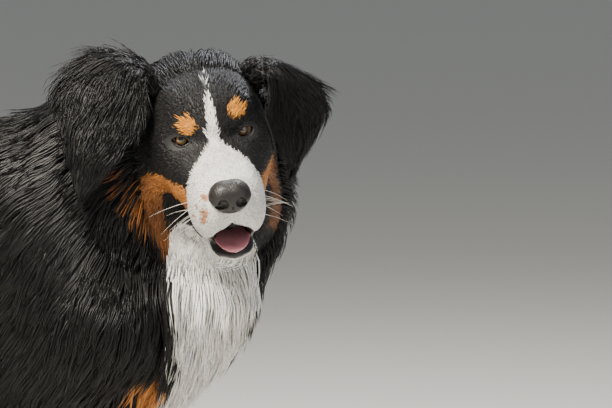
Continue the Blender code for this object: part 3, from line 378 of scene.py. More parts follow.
skin = rough_body()
own = to_head(points_of(skin.data))
split_near(skin, np.linalg.norm(own - np.array((0.010, 0.0, -0.040)), axis=1), 0.120)
set_points(skin.data, settle(points_of(skin.data), 3))
own = mirrored(to_head(points_of(skin.data)))
near_eye = np.linalg.norm(own - np.array(EYE_PLACE), axis=1) - 0.020
near_mouth = np.linalg.norm((own - np.array((0.075, 0.0, -0.088))) / (1.0, 1.0, 0.55), axis=1) - 0.040
split_near(skin, np.minimum(near_eye, near_mouth), 0.0)
smooth_points(skin, 3)
points = points_of(skin.data)
points[:, 2] = np.maximum(points[:, 2], GROUND + 0.0004)
set_points(skin.data, points)


# Markings. White on the blaze, muzzle, throat, chest, feet and tail tip; rust on brows, cheeks, chest sides
# and legs; black on the rest. Each is a blend of balls and bones, as the skin is.
HEAD_WHITE = [
    (bone, (-0.042, 0.0025, 0.060), ((0.005, 0.0000, 0.037), 0.0014, 0.0038, 1.0), 0.001),
    (bone, (0.005, 0.0000, 0.037), ((0.018, -0.0015, 0.004), 0.0038, 0.0060, 1.0), 0.001),
    (bone, (0.060, 0.0, -0.112), ((-0.045, -0.004, -0.165), 0.030, 0.044, 1.0), 0.010),
]
HEAD_RUST = [
    (ball, (0.005, -0.027, 0.0190), ((0.0105, 0.0105, 0.0098), 0), 0.0005),
    (ball, (0.002, 0.028, 0.0280), ((0.0100, 0.0100, 0.0092), 0), 0.0005),
]
CHEEK_RUST = [
    (bone, (-0.024, 0.070, -0.052), ((0.050, 0.048, -0.047), 0.0135, 0.0125, 1.0), 0.004),
    (bone, (0.050, 0.048, -0.050), ((0.052, 0.046, -0.080), 0.012, 0.010, 1.0), 0.004),
    (bone, (-0.026, 0.074, -0.065), ((-0.034, 0.062, -0.122), 0.014, 0.012, 1.0), 0.004),
    (bone, (-0.038, 0.103, -0.038), ((-0.030, 0.088, -0.082), 0.0045, 0.0045, 1.0), 0.002),
    (bone, (-0.030, 0.088, -0.082), ((-0.038, 0.064, -0.128), 0.0045, 0.0070, 1.0), 0.002),
]
FRECKLES = [
    ((0.099, -0.027, -0.020), 0.0050), ((0.100, -0.028, -0.033), 0.0046), ((0.097, -0.030, -0.050), 0.0048),
    ((0.094, -0.032, -0.059), 0.0040), ((0.084, -0.037, -0.046), 0.0022), ((0.080, -0.030, -0.018), 0.0024),
    ((0.068, -0.014, -0.005), 0.0020), ((0.078, -0.040, -0.058), 0.0022), ((0.074, 0.020, -0.010), 0.0018),
    ((0.088, -0.036, -0.030), 0.0018), ((0.060, -0.022, -0.006), 0.0018),
]
BODY_WHITE = [
    (bone, (0.236, -0.034, 0.535), ((0.218, -0.004, 0.450), 0.042, 0.050, 1.0), 0.010),
    (bone, (0.218, -0.004, 0.450), ((0.190, 0.000, 0.345), 0.050, 0.034, 1.0), 0.010),
    (ball, (-0.672, 0.046, 0.205), ((0.050, 0.050, 0.056), 0), 0.005),
]
LEG_RUST = [
    (ball, (0.192, 0.064, 0.372), ((0.034, 0.026, 0.040), 0), 0.005),
    (bone, (0.070, 0.078, 0.300), ((0.092, 0.090, 0.100), 0.030, 0.034, 1.0), 0.010),
    (bone, (-0.440, 0.060, 0.300), ((-0.480, 0.082, 0.080), 0.026, 0.032, 1.0), 0.010),
    (ball, (-0.530, 0.000, 0.490), ((0.034, 0.034, 0.050), 0), 0.005),
]
FORE_SOCK = 0.108
HIND_SOCK = 0.085


def white_depth(points):
    """How far a place lies outside the white marks, in metres, and under zero in them."""
    own = to_head(points)
    side = mirrored(own)
    found = forms_field(own, HEAD_WHITE)
    muzzle = (0.013 + 1.05 * side[:, 1] - own[:, 0]) / 1.45
    muzzle = np.where(own[:, 2] < -0.078, np.maximum(muzzle, 0.045 - own[:, 0]), muzzle)
    found = np.minimum(found, np.where(np.linalg.norm(own, axis=1) < 0.2, muzzle, 1.0))
    found = np.minimum(found, forms_field(points, BODY_WHITE))
    sock = np.where(points[:, 0] > -0.2, FORE_SOCK, HIND_SOCK)
    return np.minimum(found, points[:, 2] - sock)


def rust_depth(points):
    """The same for the rust marks."""
    own = to_head(points)
    found = np.minimum(forms_field(own, HEAD_RUST), forms_field(mirrored(own), CHEEK_RUST))
    return np.minimum(found, forms_field(mirrored(points), LEG_RUST))


# A freckle is read straight through the muzzle, so that it shows where the skin lies a little deeper.
FRECKLE_DEEP = (0.35, 1.0, 1.0)


def freckle_depth(points):
    own = to_head(points)
    spots = [
        np.linalg.norm((own - np.array(place)) * FRECKLE_DEEP, axis=1) - size for place, size in FRECKLES
    ]
    return np.min(spots, axis=0)


LOWER_LIP = [
    (bone, (0.0925, 0.000, -0.1080), ((0.0855, 0.017, -0.1055), 0.0066, 0.0066, 1.0), 0.001),
    (bone, (0.0855, 0.017, -0.1055), ((0.0700, 0.027, -0.0985), 0.0066, 0.0060, 1.0), 0.001),
    (bone, (0.0700, 0.027, -0.0985), ((0.0420, 0.037, -0.0880), 0.0060, 0.0045, 1.0), 0.001),
]


def lip_depth(points):
    """How far a place lies from the bare dark skin of lips and mouth."""
    own = mirrored(to_head(points))
    gape = forms_field(own, MOUTH_FORMS)
    jaw_rim = np.where(own[:, 2] < -0.0845, gape - 0.0060, gape - 0.0016)
    jaw_rim = np.minimum(jaw_rim, forms_field(own, LOWER_LIP))
    return np.where(own[:, 0] > -0.03, jaw_rim, 1.0)


def linear(code):
    """Linear colour of an sRGB hex code."""
    parts = [int(code[i:i + 2], 16) / 255 for i in (1, 3, 5)]
    return tuple(c / 12.92 if c <= 0.04045 else ((c + 0.055) / 1.055) ** 2.4 for c in parts)


BLACK_HAIR = np.array(linear("#111011"))
WHITE_HAIR = np.array(linear("#f6f3ee"))
RUST_HAIR = np.array(linear("#c8833f"))
# Darker brown painted on the head's rust where it lies in shade: painted shade on the lower and rear cheeks.
RUST_PAINTED_SHADE = np.array(linear("#7a4a22"))
FRECKLE_HAIR = np.array(linear("#c99570"))
BROW_HAIR = np.array(linear("#dc9434"))


def mark_colours(points, stray):
    """Colour of the coat at root places; stray moves the borders by metres, so that the colours mingle."""
    count = len(points)
    white = white_depth(points) + stray < 0.0
    rust = rust_depth(points) + stray < 0.0
    freckle = freckle_depth(points) + stray * 0.4 < 0.0
    colour = np.tile(BLACK_HAIR, (count, 1))
    brow = to_head(points)[:, 2] > 0.0
    colour[rust & brow] = BROW_HAIR
    colour[rust & ~brow] = RUST_HAIR
    # Painted shade: rust below the cheek patch and toward the back of the head is mixed toward a darker
    # brown.
    own = to_head(points[rust & ~brow])
    low = np.clip(np.maximum((-0.046 - own[:, 2]) / 0.03, (-0.010 - own[:, 0]) / 0.022), 0.0, 1.0)
    near_head = np.linalg.norm(own, axis=1) < 0.2
    colour[rust & ~brow] += (RUST_PAINTED_SHADE - RUST_HAIR) * (low * near_head)[:, None]
    colour[white] = WHITE_HAIR
    colour[white & freckle] = FRECKLE_HAIR
    return colour


def paint(mesh, name, colours):
    """Writes a linear colour for each point of a mesh."""
    layer = mesh.color_attributes.new(name, "FLOAT_COLOR", "POINT")
    full = np.ones((len(colours), 4), dtype=np.float32)
    full[:, :3] = colours
    layer.data.foreach_set("color", full.ravel())


def add_node(tree, kind, values=(), settings=(), **links):
    """One shader node: its input values, its settings, and the sockets that feed it."""
    node = tree.nodes.new(kind)
    for key, value in dict(settings).items():
        setattr(node, key, value)
    for key, value in dict(values).items():
        node.inputs[key].default_value = value
    for key, socket in links.items():
        tree.links.new(socket, node.inputs[key.replace("_", " ")])
    return node


def new_material(name, colour="#808080", roughness=0.5, **values):
    """A material with its Principled shader, and the values set on it directly."""
    material = bpy.data.materials.new(name)
    material.use_nodes = True
    shader = material.node_tree.nodes["Principled BSDF"]
    shader.inputs["Base Color"].default_value = (*linear(colour), 1.0)
    shader.inputs["Roughness"].default_value = roughness
    for key, value in values.items():
        shader.inputs[key.replace("_", " ")].default_value = value
    return material, material.node_tree, shader


def bumped(tree, shader, height, strength, distance):
    bump = add_node(tree, "ShaderNodeBump", {"Strength": strength, "Distance": distance}, Height=height)
    tree.links.new(bump.outputs["Normal"], shader.inputs["Normal"])


def own_places(tree):
    return add_node(tree, "ShaderNodeTexCoord").outputs["Object"]


def noise_of(tree, scale, detail=2.0):
    found = add_node(tree, "ShaderNodeTexNoise", {"Scale": scale, "Detail": detail}, Vector=own_places(tree))
    return found.outputs["Fac"]


def mottled(tree, shader, scale, dark, light, detail=2.0):
    """Drifts the base colour between two tones by noise, and gives that noise."""
    noise = noise_of(tree, scale, detail)
    tones = add_node(tree, "ShaderNodeValToRGB", Fac=noise)
    for stop, code in zip(tones.color_ramp.elements, (dark, light)):
        stop.color = (*linear(code), 1.0)
    tree.links.new(tones.outputs["Color"], shader.inputs["Base Color"])
    return noise


def finish_piece(obj, material, slot, *nodes):
    """Puts a piece where the dog stands, gives it its material, hangs it from the root body and hides the
    parts it stands for; slot is not used.
    """
    obj.data.transform(Matrix.Translation(DOG))
    obj.data.materials.clear()
    obj.data.materials.append(material)
    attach(obj, "root")
    if nodes:
        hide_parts(*nodes)
    return obj


# The middle of the nose pad in the head's frame, and half its depth, width and height.
NOSE_PLACE = Vector((0.0975, 0.0, -0.0360))
NOSE_HALF = (0.0185, 0.0245, 0.0205)

# The lids are cut open in an almond, and the eyeball's bed is hollowed behind them.
LID_HALF_WIDTH = 0.0099
LID_HALF_HEIGHT = 0.0062


def eye_turn(hand):
    """Turn that brings +Z to the middle of the opening between the lids, and +X outward along it."""
    out = Vector((0.93, 0.26 * hand, 0.18)).normalized()
    across = Vector((0.0, 0.0, 1.0)).cross(out).normalized()
    return Matrix((across, out.cross(across), out)).transposed().to_4x4()


def eye_middle(hand):
    return Vector((EYE_PLACE.x, EYE_PLACE.y * hand, EYE_PLACE.z))


def almond(hand, grow=0.0, count=48):
    """The edge of the opening between the lids, flat: pointed at both corners, the inner one lower."""
    found = []
    for i in range(count):
        angle = math.tau * i / count
        x, y = math.cos(angle), math.sin(angle)
        lift = (0.92 if y > 0 else 1.0) * abs(y) ** 1.25 * (1 if y > 0 else -1)
        outward = x * hand
        slant = 0.0009 * outward
        found.append((x * (LID_HALF_WIDTH + grow), lift * (LID_HALF_HEIGHT + grow) + slant))
    return found


def almond_cutter(hand):
    work = bmesh.new()
    low = [work.verts.new((x, y, 0.0060)) for x, y in almond(hand)]
    high = [work.verts.new((x * 1.10, y * 1.12, 0.0220)) for x, y in almond(hand)]
    for i in range(len(low)):
        j = (i + 1) % len(low)
        work.faces.new((low[i], low[j], high[j], high[i]))
    work.faces.new(tuple(reversed(low)))
    work.faces.new(tuple(high))
    bmesh.ops.recalc_face_normals(work, faces=work.faces)
    bmesh.ops.triangulate(work, faces=work.faces)
    mesh = mesh_from(work, "almond")
    mesh.transform(HEAD @ Matrix.Translation(eye_middle(hand)) @ eye_turn(hand))
    return mesh_object("almond", mesh)


def sphere(name, place, radius, segments=48, rings=32):
    work = bmesh.new()
    bmesh.ops.create_uvsphere(work, u_segments=segments, v_segments=rings, radius=radius, matrix=place)
    return mesh_object(name, mesh_from(work, name))


def cut(obj, cutters):
    """Takes closed cutters out of obj in one Boolean, and removes them."""
    group = bpy.data.collections.new("cutters")
    bpy.context.scene.collection.children.link(group)
    for cutter in cutters:
        group.objects.link(cutter)
    boolean = obj.modifiers.new("cut", "BOOLEAN")
    boolean.operation = "DIFFERENCE"
    boolean.operand_type = "COLLECTION"
    boolean.collection = group
    boolean.solver = "MANIFOLD"
    apply_all(obj)
    for cutter in cutters:
        bpy.data.objects.remove(cutter, do_unlink=True)
    bpy.data.collections.remove(group)


cutters = []
for hand in (1, -1):
    place = HEAD @ Matrix.Translation(eye_middle(hand)) @ eye_turn(hand)
    cutters.append(sphere("socket", place, 0.01185))
    cutters.append(almond_cutter(hand))
SKIN_POINTS = points_of(skin.data)
SKIN_FACES = np.array([p.vertices[:] for p in skin.data.polygons if len(p.vertices) == 3])
cut(skin, cutters)
skin.data.shade_smooth()


# The skin is dark within this reach of the eye's middle.
DARK_ROUND_EYE = 0.0165


def skin_colours(points):
    """The hide under the coat: the coat's colours, softer and a little darker, bare dark skin at the lips."""
    stray = np.zeros(len(points))
    colour = mark_colours(points, stray) * 0.8
    white = np.clip(0.5 - white_depth(points) / 0.004, 0.0, 1.0)[:, None]
    colour = np.where((white > 0) & (white < 1), colour * 0.6 + 0.4 * WHITE_HAIR * white, colour)
    lips = np.clip(0.5 - lip_depth(points) / 0.0016, 0.0, 1.0)[:, None]
    own = mirrored(to_head(points))
    near_eye = np.linalg.norm(own - np.array(EYE_PLACE), axis=1)
    lids = np.clip((DARK_ROUND_EYE - near_eye) / 0.002, 0.0, 1.0)[:, None]
    bed = np.linalg.norm((own - np.array(NOSE_PLACE)) / (0.030, 0.0225, 0.0190), axis=1)
    lips = np.maximum(lips, np.clip((1.0 - bed) / 0.06, 0.0, 1.0)[:, None])
    dark = np.array(linear("#191415"))
    return colour * (1 - lips) * (1 - lids) + dark * np.maximum(lips, lids)


paint(skin.data, "Coat", skin_colours(points_of(skin.data)))
wet = np.clip(0.5 - lip_depth(points_of(skin.data)) / 0.0016, 0.0, 1.0)
layer = skin.data.attributes.new("Wet", "FLOAT", "POINT")
layer.data.foreach_set("value", wet.astype(np.float32))

hide, tree, shader = new_material("dog_hide", roughness=0.6)
coat = add_node(tree, "ShaderNodeVertexColor", settings={"layer_name": "Coat"})
tree.links.new(coat.outputs["Color"], shader.inputs["Base Color"])
wetness = add_node(tree, "ShaderNodeAttribute", settings={"attribute_name": "Wet"})
gloss = add_node(tree, "ShaderNodeMapRange", {"To Min": 0.62, "To Max": 0.28}, Value=wetness.outputs["Fac"])
tree.links.new(gloss.outputs["Result"], shader.inputs["Roughness"])
hairs = add_node(
    tree, "ShaderNodeTexNoise", {"Scale": 900.0, "Detail": 3.0, "Roughness": 0.6}, Vector=own_places(tree)
)
bumped(tree, shader, hairs.outputs["Fac"], 0.35, 0.0012)
finish_piece(
    skin, hide, "black_coat", "head", "jaw", "neck", "torso", "tail",
    "foreleg_left", "foreleg_right", "forepaw_left", "forepaw_right",
    "hindleg_left", "hindleg_right", "hindpaw_left", "hindpaw_right",
)


# Eyes.
# Glossy amber-brown balls with a bulged clear cornea, set deep under the brows, and looking out at whoever
# stands before the dog. Each iris has fine spokes, a dark outer ring and a round pupil.
EYE_RADIUS = 0.0115
IRIS = 0.0070
PUPIL = 0.0026
LOOK = Vector((0.914, -0.130, 0.385)).normalized()

eye_glass, tree, shader = new_material("eye_surface", roughness=0.05, Coat_Weight=1.0, Coat_Roughness=0.02)
round_about = add_node(tree, "ShaderNodeAttribute", settings={"attribute_name": "FromPupil"})
angle = add_node(tree, "ShaderNodeAttribute", settings={"attribute_name": "AroundPupil"})
ring = add_node(tree, "ShaderNodeValToRGB", Fac=round_about.outputs["Fac"])
ramp = ring.color_ramp
ramp.elements[0].position, ramp.elements[0].color = 0.0, (0.002, 0.002, 0.002, 1.0)
ramp.elements[1].position, ramp.elements[1].color = 1.0, (*linear("#b9a58c"), 1.0)
for place, code in (
    (PUPIL / 0.012, "#050404"), (PUPIL / 0.012 + 0.02, "#3a2413"), (0.38, "#80602f"), (0.47, "#654520"),
    (IRIS / 0.012 - 0.02, "#3b2612"), (IRIS / 0.012 + 0.02, "#120c09"), (0.66, "#5a4638"),
):
    stop = ramp.elements.new(place)
    stop.color = (*linear(code), 1.0)
spokes = add_node(
    tree, "ShaderNodeTexNoise", {"Scale": 26.0, "Detail": 3.0}, {"noise_dimensions": "3D"},
    Vector=angle.outputs["Vector"],
)
shade = add_node(
    tree, "ShaderNodeMapRange", {"From Min": 0.3, "From Max": 0.7, "To Min": 0.65, "To Max": 1.35},
    Value=spokes.outputs["Fac"],
)
mixed = add_node(tree, "ShaderNodeVectorMath", settings={"operation": "SCALE"})
tree.links.new(ring.outputs["Color"], mixed.inputs[0])
tree.links.new(shade.outputs["Result"], mixed.inputs["Scale"])
tree.links.new(mixed.outputs["Vector"], shader.inputs["Base Color"])

for side, hand in (("left", 1), ("right", -1)):
    eye = sphere("eye_" + side, Matrix(), EYE_RADIUS, 64, 48)
    turn = LOOK.to_track_quat("Z", "Y").to_matrix().to_4x4()
    points = points_of(eye.data)
    away = np.linalg.norm(points[:, :2], axis=1)
    front = points[:, 2] > 0
    bulge = np.where(front, 0.0011 * np.clip(1.0 - (away / 0.0070) ** 2, 0.0, 1.0), 0.0)
    points += points / EYE_RADIUS * bulge[:, None]
    set_points(eye.data, points)
    layer = eye.data.attributes.new("FromPupil", "FLOAT", "POINT")
    layer.data.foreach_set("value", np.where(front, away / 0.012, 1.0).astype(np.float32))
    layer = eye.data.attributes.new("AroundPupil", "FLOAT_VECTOR", "POINT")
    around = np.stack([points[:, 0] / (away + 1e-6), points[:, 1] / (away + 1e-6), away * 40.0], 1)
    layer.data.foreach_set("vector", around.astype(np.float32).ravel())
    eye.data.shade_smooth()
    eye.data.transform(HEAD @ Matrix.Translation(eye_middle(hand)) @ turn)
    finish_piece(eye, eye_glass, "eye_surface", "eye_" + side)

# Lid rims.
# The bare wet edge of each lid, dark leather a millimetre or two thick, that runs round the opening.
rim_leather, tree, shader = new_material("lid_rim_leather", "#15100f", 0.32, Coat_Weight=0.4)
bumped(tree, shader, noise_of(tree, 1600.0), 0.3, 0.0004)


def tube(name, path, radii, sides=8, closed=True):
    """A tube of given radii along a path, closed on itself or drawn to its ends."""
    count = len(path)
    vertices, faces = [], []
    for i, middle in enumerate(path):
        before = path[i - 1] if closed or i else path[0]
        after = path[(i + 1) % count] if closed or i < count - 1 else path[-1]
        way = (Vector(after) - Vector(before)).normalized()
        side = way.orthogonal().normalized() if i == 0 else (side - way * side.dot(way)).normalized()
        up = way.cross(side)
        for k in range(sides):
            angle = math.tau * k / sides
            vertices.append(Vector(middle) + (side * math.cos(angle) + up * math.sin(angle)) * radii[i])
    for i in range(count if closed else count - 1):
        for k in range(sides):
            j, n = (i + 1) % count, (k + 1) % sides
            faces.append((i * sides + k, i * sides + n, j * sides + n, j * sides + k))
    if not closed:
        faces.append(tuple(range(sides)))
        faces.append(tuple(reversed(range((count - 1) * sides, count * sides))))
    return new_mesh(name, vertices, faces)


for side, hand in (("left", 1), ("right", -1)):
    path = []
    for x, y in almond(hand, 0.0003, 56):
        depth = math.sqrt(max(LID_RADIUS**2 - x * x - y * y, 1e-6)) - 0.0005
        path.append(eye_turn(hand) @ Vector((x, y, depth)))
    radii = [0.00095 + 0.00025 * abs(math.sin(math.tau * i / 56)) for i in range(56)]
    rim = mesh_object("lid_rim_" + side, tube("lid_rim", path, radii))
    rim.data.transform(HEAD @ Matrix.Translation(eye_middle(hand)))
    rim.data.shade_smooth()
    finish_piece(rim, rim_leather, "nose_leather")


# Nose.
# The dark leather pad, broad over the nostrils and drawn in to the lip, its surface pebbled and a little wet,
# with comma-shaped nostrils and the groove that runs down to the lip.
def nose_pad():
    work = bmesh.new()
    bmesh.ops.create_uvsphere(work, u_segments=96, v_segments=64, radius=1.0)
    for vertex in work.verts:
        co = Vector([math.copysign(abs(c) ** 0.86, c) for c in vertex.co])
        co = Vector([c * half for c, half in zip(co, NOSE_HALF)])
        drop = max(0.0, -co.z / NOSE_HALF[2])
        co.y *= 1.0 - 0.38 * drop
        co.x -= 0.006 * drop * drop
        crest = math.exp(-((co.y / 0.006) ** 2)) * max(0.0, co.z / NOSE_HALF[2])
        co.z -= 0.0012 * crest
        wing = math.exp(-(((abs(co.y) - 0.015) / 0.006) ** 2)) * math.exp(-((co.z / 0.011) ** 2))
        co.x += 0.0016 * wing * (1.0 if co.x > 0 else 0.0)
        vertex.co = co
    mesh = mesh_from(work, "nose")
    mesh.transform(HEAD @ Matrix.Translation(NOSE_PLACE))
    return mesh_object("nose", mesh)


def hollow(place, radii, lean=0.0):
    turn = Matrix.Rotation(math.radians(lean), 4, "X")
    place = HEAD @ Matrix.Translation(place) @ turn @ Matrix.Diagonal((*radii, 1.0))
    return sphere("hollow", place, 1.0, 32, 20)


nose = nose_pad()
hollows = []
for hand in (1, -1):
    hollows.append(hollow((0.1180, 0.0108 * hand, -0.0382), (0.0095, 0.0068, 0.0074), 12 * hand))
    hollows.append(hollow((0.1125, 0.0160 * hand, -0.0420), (0.0085, 0.0062, 0.0034), -24 * hand))
    hollows.append(hollow((0.1085, 0.0200 * hand, -0.0435), (0.0080, 0.0058, 0.0014), -10 * hand))
hollows.append(hollow((0.1145, 0.0, -0.0485), (0.0040, 0.0008, 0.0140)))
cut(nose, hollows)
soften = nose.modifiers.new("soft", "REMESH")
soften.mode = "VOXEL"
soften.voxel_size = 0.00062
apply_all(nose)
calm = nose.modifiers.new("calm", "SMOOTH")
calm.factor = 0.5
calm.iterations = 4
apply_all(nose)
nose.data.shade_smooth()
leather, tree, shader = new_material("nose_leather", "#1b1716", 0.50, Coat_Weight=0.10, Coat_Roughness=0.25)
pebbles = add_node(
    tree, "ShaderNodeTexVoronoi", {"Scale": 620.0, "Randomness": 0.9}, {"feature": "F1"},
    Vector=own_places(tree),
)
mottled(tree, shader, 90.0, "#0e0c0b", "#231d1a", 3.0)
bumped(tree, shader, pebbles.outputs["Distance"], 0.55, 0.0007)
finish_piece(nose, leather, "nose_leather", "nose")


# Tongue.
# A soft mauve-pink blade, dished along its middle, that lies in the lower jaw up to just behind the lip.
TONGUE = [
    ((0.014, 0.0, -0.088), 0.018, 0.0035),
    ((0.040, 0.0, -0.0920), 0.0205, 0.0042),
    ((0.062, 0.0, -0.0955), 0.0212, 0.0042),
    ((0.080, 0.0, -0.0980), 0.0200, 0.0040),
    ((0.091, 0.0, -0.1005), 0.0160, 0.0034),
    ((0.096, 0.0, -0.1025), 0.0095, 0.0022),
]


def loft_mesh(name, rings):
    """A closed skin through rings of equally many points."""
    vertices = [p for ring in rings for p in ring]
    count = len(rings[0])
    faces = []
    for row in range(len(rings) - 1):
        for i in range(count):
            j = (i + 1) % count
            faces.append((row * count + i, row * count + j, (row + 1) * count + j, (row + 1) * count + i))
    faces.append(tuple(reversed(range(count))))
    faces.append(tuple(range((len(rings) - 1) * count, len(rings) * count)))
    mesh = new_mesh(name, vertices, faces)
    work = bmesh.new()
    work.from_mesh(mesh)
    bmesh.ops.recalc_face_normals(work, faces=work.faces)
    work.to_mesh(mesh)
    work.free()
    return mesh


def along(rows, t):
    """Values of a table of rows at t rows from its start, on a smooth curve, and past its end on a line."""
    rows = np.asarray(rows, dtype=float)
    t = np.asarray(t, dtype=float)
    i = np.clip(np.floor(t).astype(int), 0, len(rows) - 2)
    f = (t - i)[..., None]
    g = np.clip(f, 0.0, 1.0)
    before, near, far = rows[np.maximum(i - 1, 0)], rows[i], rows[i + 1]
    after = rows[np.minimum(i + 2, len(rows) - 1)]
    curve = 0.5 * (
        2 * near + (far - before) * g + (2 * before - 5 * near + 4 * far - after) * g**2
        + (3 * near - before - 3 * far + after) * g**3
    )
    return curve + (far - near) * (f - g)


table = [(*middle, wide, thick) for middle, wide, thick in TONGUE]
rings = []
for t in np.linspace(0.0, len(TONGUE) - 1.0, 30):
    x, y, z, wide, thick = along(table, t)
    ring = []
    for k in range(28):
        angle = math.tau * k / 28
        across = wide * math.cos(angle)
        dish = 0.0042 * (across / 0.020) ** 2 - 0.0011 * math.exp(-((across / 0.0022) ** 2))
        ring.append(HEAD @ Vector((x, across, z + thick * math.sin(angle) + dish)))
    rings.append(ring)
tongue = mesh_object("tongue", loft_mesh("tongue", rings))
tongue.data.shade_smooth()
tongue_skin, tree, shader = new_material(
    "tongue_skin", "#b0656c", 0.34, Subsurface_Weight=0.25, Subsurface_Scale=0.004, Coat_Weight=0.3,
)
buds = add_node(tree, "ShaderNodeTexVoronoi", {"Scale": 900.0}, Vector=own_places(tree))
mottled(tree, shader, 70.0, "#a4616d", "#cf8a8e", 3.0)
bumped(tree, shader, buds.outputs["Distance"], 0.4, 0.0006)
finish_piece(tongue, tongue_skin, "tongue_skin", "tongue")


# Ears.
# Soft leather flaps that hang from a fold beside the crown. The right one is swept up and out at its base.
LEFT_EAR = [
    ((-0.075, 0.056, 0.036), (0.025, 0.004, 0.002), 0.0170),
    ((-0.072, 0.078, 0.044), (0.028, -0.006, 0.004), 0.0130),
    ((-0.070, 0.097, 0.031), (0.028, -0.018, 0.007), 0.0075),
    ((-0.064, 0.107, 0.009), (0.027, -0.030, 0.004), 0.0060),
    ((-0.058, 0.109, -0.014), (0.024, -0.031, 0.000), 0.0055),
    ((-0.053, 0.106, -0.032), (0.018, -0.024, 0.000), 0.0050),
    ((-0.050, 0.099, -0.050), (0.010, -0.013, 0.000), 0.0040),
]
RIGHT_EAR = [
    ((-0.078, -0.054, 0.040), (0.026, -0.002, 0.0), 0.0100),
    ((-0.084, -0.068, 0.062), (0.030, 0.004, -0.006), 0.0100),
    ((-0.085, -0.090, 0.064), (0.032, 0.020, -0.012), 0.0075),
    ((-0.066, -0.114, 0.040), (0.030, 0.036, -0.012), 0.0060),
    ((-0.048, -0.130, 0.012), (0.025, 0.030, -0.010), 0.0055),
    ((-0.033, -0.142, -0.014), (0.016, 0.018, -0.006), 0.0050),
    ((-0.024, -0.150, -0.034), (0.008, 0.009, -0.003), 0.0040),
]


def ear_point(table, station, across, height, hand):
    """Places of the ear: station from base to tip, across from its front edge, height over its middle."""
    here = along(table, station)
    ahead, behind = along(table, station + 0.35), along(table, station - 0.35)
    down = ahead[..., :3] - behind[..., :3]
    half = here[..., 3:6]
    out = np.cross(half, down)
    out = out / (np.linalg.norm(out, axis=-1, keepdims=True) + 1e-9)
    out = out * np.where(out[..., 1:2] * hand > 0, 1.0, -1.0)
    return here[..., :3] + half * across[..., None] + out * height[..., None], here[..., 6]


ear_skin, tree, shader = new_material("ear_skin", "#141213", 0.55)
bumped(tree, shader, noise_of(tree, 700.0, 3.0), 0.4, 0.001)
for side, hand, stations in (("left", 1, LEFT_EAR), ("right", -1, RIGHT_EAR)):
    table = [(*middle, *half, thick) for middle, half, thick in stations]
    rings = []
    for t in np.linspace(0.0, 6.0, 36):
        angles = np.arange(32) * math.tau / 32
        thick = along(table, t)[6] * 0.72
        height = thick * np.sin(angles) - 0.35 * thick * np.cos(angles) ** 2
        ring, _ = ear_point(table, np.full(32, t), np.cos(angles) * 0.94, height, hand)
        rings.append([HEAD @ Vector(p) for p in ring])
    flap = mesh_object("ear_flap_" + side, loft_mesh("ear_flap", rings))
    flap.data.shade_smooth()
    finish_piece(flap, ear_skin, "black_coat", "ear_" + side)


# Claws.
# Short dull black horn, one at the end of each toe, tapering and curving down.
CLAW_LENGTH = 0.0205
CLAW_HALF_THICKNESS = 0.0036

horn, tree, shader = new_material("claw_horn", "#1d1917", 0.35, Coat_Weight=0.2)
bumped(tree, shader, mottled(tree, shader, 500.0, "#120f0e", "#3a312b"), 0.2, 0.0004)
claw_vertices, claw_faces = [], []
for paw in (FORE_PAW, HIND_PAW):
    for hand in (1, -1):
        for across, ahead in zip(TOE_SPREAD, TOE_REACH):
            root = Vector((paw[0] + ahead + 0.013, (paw[1] + across) * hand, paw[2] - 0.0105))
            first = len(claw_vertices)
            for row in range(8):
                t = row / 7
                middle = root + Vector((CLAW_LENGTH * t, 0.0, -0.0010 * t - 0.0072 * t * t))
                thick = CLAW_HALF_THICKNESS * (1.0 - t) ** 0.6 + 0.0004
                for k in range(12):
                    angle = math.tau * k / 12
                    side = Vector((0.0, 0.80 * math.cos(angle), math.sin(angle))) * thick
                    claw_vertices.append(middle + side)
            for row in range(7):
                for k in range(12):
                    a, b = first + row * 12, first + row * 12 + 12
                    n = (k + 1) % 12
                    claw_faces.append((a + k, a + n, b + n, b + k))
            claw_faces.append(tuple(first + k for k in reversed(range(12))))
            claw_faces.append(tuple(first + 84 + k for k in range(12)))
claws = mesh_object("claws", new_mesh("claws", claw_vertices, claw_faces))
claws.data.shade_smooth()
finish_piece(claws, horn, "nose_leather")


